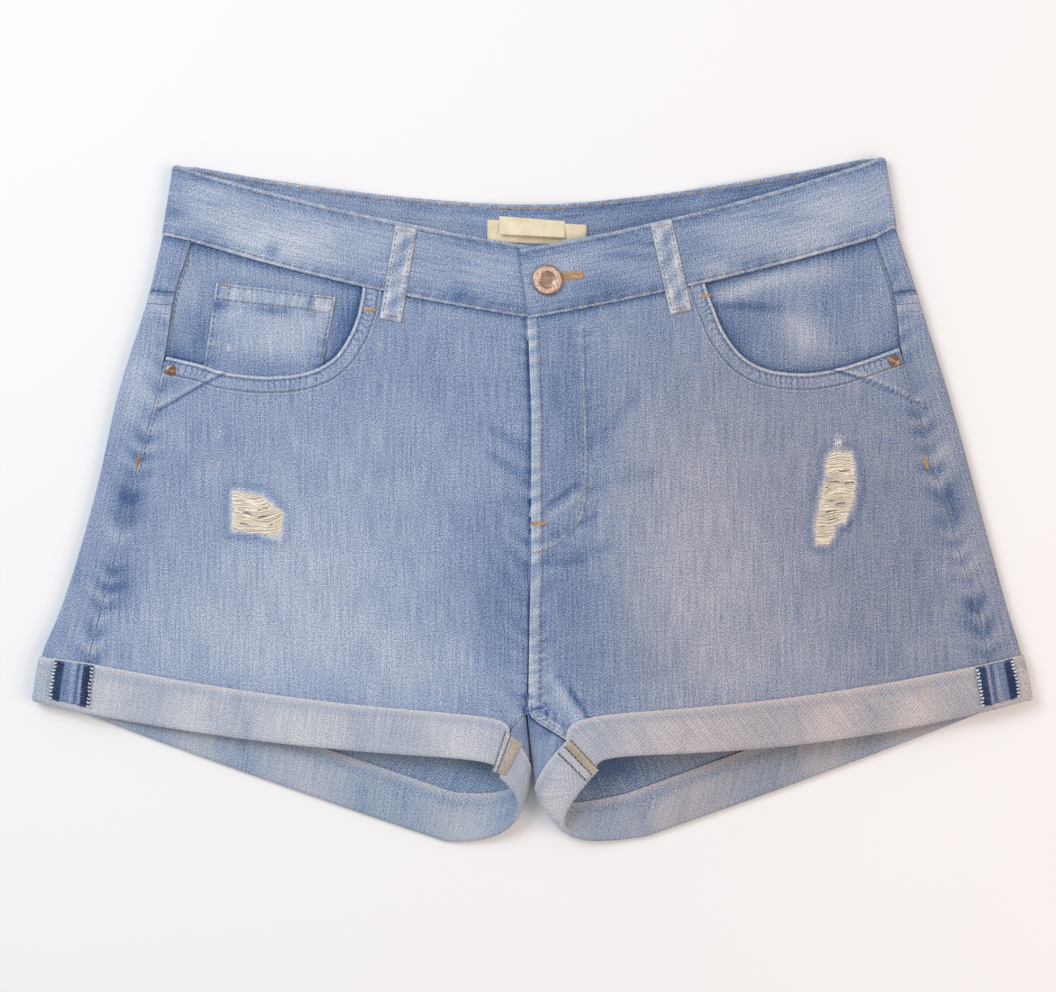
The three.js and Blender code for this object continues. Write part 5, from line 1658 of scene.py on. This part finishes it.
# The seams on the turn-ups
# Each turn-up is inside out, so it shows the leg's seam allowances: those of the side seam are pressed
# apart and overlocked in navy with white loops, and those of the inseam are turned to one side.
navy_overlock = thread("navy_overlock_thread", "#1c2947", "#44577c")
white_loops = thread("white_overlock_loops", "#aab3c4", "#eceef2")
brown_overlock = thread("brown_overlock_thread", "#4a3b2e", "#7d6750")
tan_binding = thread("tan_overlock_thread", "#94866f", "#c9bda6")
open_seams = {"right": (-3.5, 19.0), "left": (-8.0, 13.6)}
overlock = 5.4
navy, loops_white, brown, binding = [], [], [], []
for name in names:
    side, surface = halves[name]["side"], bodies[name]
    fine = np.linspace(0.9, 1.6, 400)
    ring = surface(fine, np.full(400, 0.94))
    run = np.concatenate([[0], np.cumsum(np.linalg.norm(np.diff(ring, axis=0), axis=1))])
    run -= np.interp(1, fine, run)

    def on_cuff(across, level, lift, name=name, surface=surface, side=side, run=run):
        around = np.interp(across, run, fine)
        middle = surface(around, level)
        normal = outward(surface, side, around, level)
        swell = cuff_swell(name, middle, normal, level)[1]
        return middle + normal * (outer_gap + swell + lift)[..., None], normal

    start, end = open_seams[name]
    across, level = np.meshgrid(
        np.linspace(start, end, 40), np.linspace(turn_up_top + 0.001, 0.984, 18), indexing="ij"
    )
    from_seam = across - (start + 8.3)
    ribs = 0.3 * bell(np.abs(from_seam) - 2.6, 1.4) - 0.35 * bell(from_seam, 0.7)
    outer, normal = on_cuff(across, level, 0.55 + ribs)
    inner, _ = on_cuff(across, level, 0.05 + 0 * ribs)
    points, faces = shell(outer, inner)
    wear_and_shade = 0.3 + 0.7 * ribs - 0.25 * (np.minimum(across - start, end - across) < overlock)
    grain = np.stack([across, level * leg_length], -1) / 1000
    make(
        "open_side_seam_allowance_" + name, points, faces, washed_denim, tile(grain, grain),
        tile(wear_and_shade, wear_and_shade),
    )
    for edge, inward in ((start, 1), (end, -1)):
        for level in np.arange(turn_up_top + 0.004, 0.983, 1.5 / leg_length):
            s = edge + inward * np.linspace(-0.2, overlock, 6) + random.uniform(-0.15, 0.15)
            slope = level + np.linspace(0, 1.1, 6) / leg_length
            places, normal = on_cuff(s, slope, 0.7 + 0.25 * np.sin(np.linspace(0, np.pi, 6)))
            navy.append(tubes(places[None], normal[None], 0.52))
        for level in np.arange(turn_up_top + 0.006, 0.981, 2.2 / leg_length):
            s = edge + inward * (np.linspace(-0.5, 1.0, 5) + random.uniform(-0.3, 0.5))
            bend = level + np.array([0, 0.5, 0.8, 0.5, 0]) / leg_length
            places, normal = on_cuff(s, bend, 1.0 + 0.3 * np.sin(np.linspace(0, np.pi, 5)))
            loops_white.append(tubes(places[None], normal[None], 0.5))

inseams = {
    "right": np.array([[[-15.1, -128.4], [-22.5, -152.4]], [[-4.6, -136.6], [-15.1, -154.6]]]),
    "left": np.array([[[21.4, -133.2], [38.2, -151.2]], [[14.3, -141.0], [31.1, -157.4]]]),
}
for name in names:
    (a, b), (c, d) = inseams[name]
    on_turn_up = seat_of(panels["turn_up_" + name])
    across, along = np.meshgrid(np.linspace(0, 1, 16), np.linspace(0.02, 0.98, 22), indexing="ij")
    plan = mix(mix(a, b, along[..., None]), mix(c, d, along[..., None]), across[..., None])
    under = np.stack([filled(row) for row in on_turn_up(plan[..., 0], plan[..., 1])])
    ridge = 0.2 * np.sin(np.pi * np.clip(across, 0, 1) * 2) ** 2
    full = rolled(plan)
    outer = np.concatenate([plan, (under + 0.1 + (0.55 + ridge) * full)[..., None]], -1)
    inner = np.concatenate([plan, (under + 0.1)[..., None]], -1)
    points, faces = shell(outer, inner)
    wear_and_shade = 0.6 + 0 * ridge - 0.3 * (across > 0.94)
    folded_seam = make(
        "inseam_allowance_" + name, points, faces, wrong_side, tile(plan, plan) / 1000, tile(wear_and_shade, wear_and_shade),
    )
    seam_height = seat_of(folded_seam)

    def on_seam(u, v, seam_height=seam_height, corners=(a, b, c, d)):
        a, b, c, d = corners
        plan = mix(mix(a, b, v[:, None]), mix(c, d, v[:, None]), u[:, None])
        return np.column_stack([plan, filled(seam_height(plan[:, 0], plan[:, 1]))])

    v = np.linspace(0.03, 0.97, 40)
    bound = (0.45, 0.95) if name == "right" else (0.05, 0.48)
    for level in np.arange(0.04, 0.96, 0.052):
        u = np.linspace(*bound, 5)
        binding.append(tubes(on_seam(u, level + np.linspace(0, 0.03, 5))[None], (0, 0, 1), 0.45))
    for u in ((0.06, 0.34) if name == "right" else (0.0, 0.5, 1.0)):
        place = on_seam(np.full(40, min(max(u, 0.02), 0.98)), v)
        short = {"length": 0.9, "gap": 0.5} if name == "right" else {"length": 2.2, "gap": 0.2}
        brown.append(row_of_stitches(place, radius=0.42, **short))
sewn("navy_overlocking", navy, navy_overlock)
sewn("white_overlock_loops", loops_white, white_loops)
sewn("brown_inseam_rows", brown, brown_overlock)
sewn("tan_inseam_binding", binding, tan_binding)

# The label
# A bare cream woven ribbon, sewn inside the back of the waistband, and a second one folded over it
# whose lower edge curls up.
def cream_ribbon():
    material, tree, shader = new_material("cream_woven_ribbon", Roughness=0.72)
    shader.inputs["Specular IOR Level"].default_value = 0.3
    place = add_node(tree, "UVMap", uv_map="grain").outputs["UV"]
    across = add_node(tree, "Mapping", {"Vector": place, "Scale": (0.2, 1, 1)})
    threads = add_node(tree, "TexNoise", {"Vector": across.outputs[0], "Scale": 2200, "Detail": 2.0})
    cloud = add_node(tree, "TexNoise", {"Vector": place, "Scale": 120, "Detail": 3.0})
    total = add_node(
        tree, "Math", {0: threads.outputs["Fac"], 1: 0.6, 2: cloud.outputs["Fac"]}, operation="MULTIPLY_ADD"
    )
    ramp = add_node(tree, "ValToRGB", {"Fac": total.outputs[0]})
    for element, at, colour in zip(ramp.color_ramp.elements, (0.45, 1.05), ("#cbbd9c", "#e4dabf")):
        element.position = min(at, 1)
        element.color = linear(colour)
    tree.links.new(ramp.outputs["Color"], shader.inputs["Base Color"])
    bump = add_node(tree, "Bump", {"Height": threads.outputs["Fac"], "Strength": 0.4, "Distance": 0.00015})
    tree.links.new(bump.outputs["Normal"], shader.inputs["Normal"])
    return material


ribbon_material = cream_ribbon()
label = {"left": -25.4, "right": 31.6, "top": 158.6, "bottom": 146.4}
flap = {"left": -18.5, "right": 19, "top": 160.6, "bottom": 150.4}
label_ply = 1.0
below_front = 5.6


def ribbon(name, box, under_pieces, curl, slot_node):
    corners = np.array([
        [box["left"], box["top"] + 1.5], [box["right"], box["top"] - 1.5],
        [box["right"], box["bottom"] - 1.5], [box["left"], box["bottom"] + 0.5],
    ])
    u, v = np.meshgrid(stops(0, 1, 50, 1.3), stops(0, 1, 11, 0.9), indexing="ij")
    plan = mix(
        mix(corners[0], corners[1], u[..., None]), mix(corners[3], corners[2], u[..., None]), v[..., None]
    )
    under = seat_of(*under_pieces)(plan[..., 0], plan[..., 1], below_front)
    under = np.stack([filled(row) for row in under])
    under = draped(under, 3) + 0.15 + curl(u, v)
    points = np.concatenate([plan, under[..., None]], -1)
    full = rolled(points) * label_ply * 0.6
    outer = points + np.array([0, 0, 1]) * full[..., None]
    made_points, faces = shell(outer, points)
    return make(
        name, made_points, faces, ribbon_material, tile(plan, plan) / 1000, np.full(len(made_points), 0.5),
        [slot_node],
    )


lower_ribbon = ribbon(
    "label_ribbon_bare", label, [panels["waistband"]], lambda u, v: 0.2 * np.sin(u * 9), "label_ribbon"
)
ribbon(
    "label_flap_bare", flap, [panels["waistband"], lower_ribbon],
    lambda u, v: 3.2 * smooth(0.15, 1, v) * (0.4 + 0.6 * np.sin(np.pi * u)), "label_flap",
)

# The button and the rivets
# A stamped copper-coloured shank button with a stippled ring round a flat disc, and two small rivets of
# the same metal, clinched through the cloth.
def stamped_copper(name, hex_dark, hex_light):
    material, tree, shader = new_material(name, Metallic=1.0, Roughness=0.42)
    place = add_node(tree, "TexCoord").outputs["Object"]
    dots = add_node(tree, "TexVoronoi", {"Vector": place, "Scale": 1500})
    stain = add_node(tree, "TexNoise", {"Vector": place, "Scale": 500, "Detail": 3.0})
    stippled = add_node(tree, "Attribute", attribute_name="wear_and_shade").outputs["Fac"]
    mixed = add_node(tree, "Math", {0: dots.outputs["Distance"], 1: stippled}, operation="MULTIPLY")
    total = add_node(tree, "Math", {0: stain.outputs["Fac"], 1: mixed.outputs[0]}, operation="ADD")
    ramp = add_node(tree, "ValToRGB", {"Fac": total.outputs[0]})
    for element, at, colour in zip(ramp.color_ramp.elements, (0.25, 0.9), (hex_dark, hex_light)):
        element.position = at
        element.color = linear(colour)
    tree.links.new(ramp.outputs["Color"], shader.inputs["Base Color"])
    bump = add_node(tree, "Bump", {"Height": mixed.outputs[0], "Strength": 0.9, "Distance": 0.0004})
    tree.links.new(bump.outputs["Normal"], shader.inputs["Normal"])
    return material


copper_plate = stamped_copper("stamped_copper_plate", "#8d7463", "#cdb3a2")
tarnished_copper = stamped_copper("tarnished_copper_plate", "#6e5547", "#b3937f")


def turned(name, node_name, profile, metal):
    """A turned shape that stands where its CAD node stands. profile has radius, height and stipple."""
    low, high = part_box(node_name)
    centre = (low + high) / 2 * 1000
    base = low[2] * 1000
    radius, height, stipple = np.array(profile, float).T
    turn = np.linspace(0, 2 * np.pi, 64, endpoint=False)
    points = np.stack([
        centre[0] - shift[0] + radius[None] * np.cos(turn)[:, None],
        centre[1] - shift[1] + radius[None] * np.sin(turn)[:, None],
        base + height[None] + 0 * turn[:, None],
    ], -1)
    count = len(profile)
    index = np.arange(64 * count).reshape(64, count)
    nexts = np.roll(index, -1, 0)
    faces = np.stack([index[:, :-1], nexts[:, :-1], nexts[:, 1:], index[:, 1:]], -1).reshape(-1, 4)
    return make(
        name, points.reshape(-1, 3), faces, metal, wear_and_shade=np.tile(stipple, 64),
        stands_for=[node_name],
    )


r, h = 8.6, 2.6
turned("shank_button", "button", [
    [0.01, 0, 0], [0.82 * r, 0, 0], [0.97 * r, 0.25 * h, 0], [r, 0.5 * h, 0], [0.99 * r, 0.75 * h, 0],
    [0.95 * r, 0.93 * h, 0],
    [0.9 * r, h, 0], [0.86 * r, 0.98 * h, 1], [0.8 * r, 0.93 * h, 1], [0.7 * r, 0.9 * h, 1],
    [0.62 * r, 0.89 * h, 1],
    [0.58 * r, 0.9 * h, 0], [0.555 * r, 0.99 * h, 0], [0.53 * r, 0.99 * h, 0], [0.5 * r, 0.88 * h, 0],
    [0.48 * r, 0.84 * h, 0],
    [0.3 * r, 0.84 * h, 0], [0.01, 0.84 * h, 0],
], copper_plate)
r = 3.3
for name in names:
    turned("clinched_rivet_" + name, "rivet_" + name, [
        [0.01, 0, 0], [r, 0, 0], [r, 0.25, 0], [0.92 * r, 0.5, 0], [0.8 * r, 0.62, 0], [0.55 * r, 0.6, 0],
        [0.5 * r, 0.75, 0],
        [0.42 * r, 1.1, 0], [0.32 * r, 1.1, 0], [0.26 * r, 0.85, 0], [0.01, 0.85, 0],
    ], tarnished_copper)
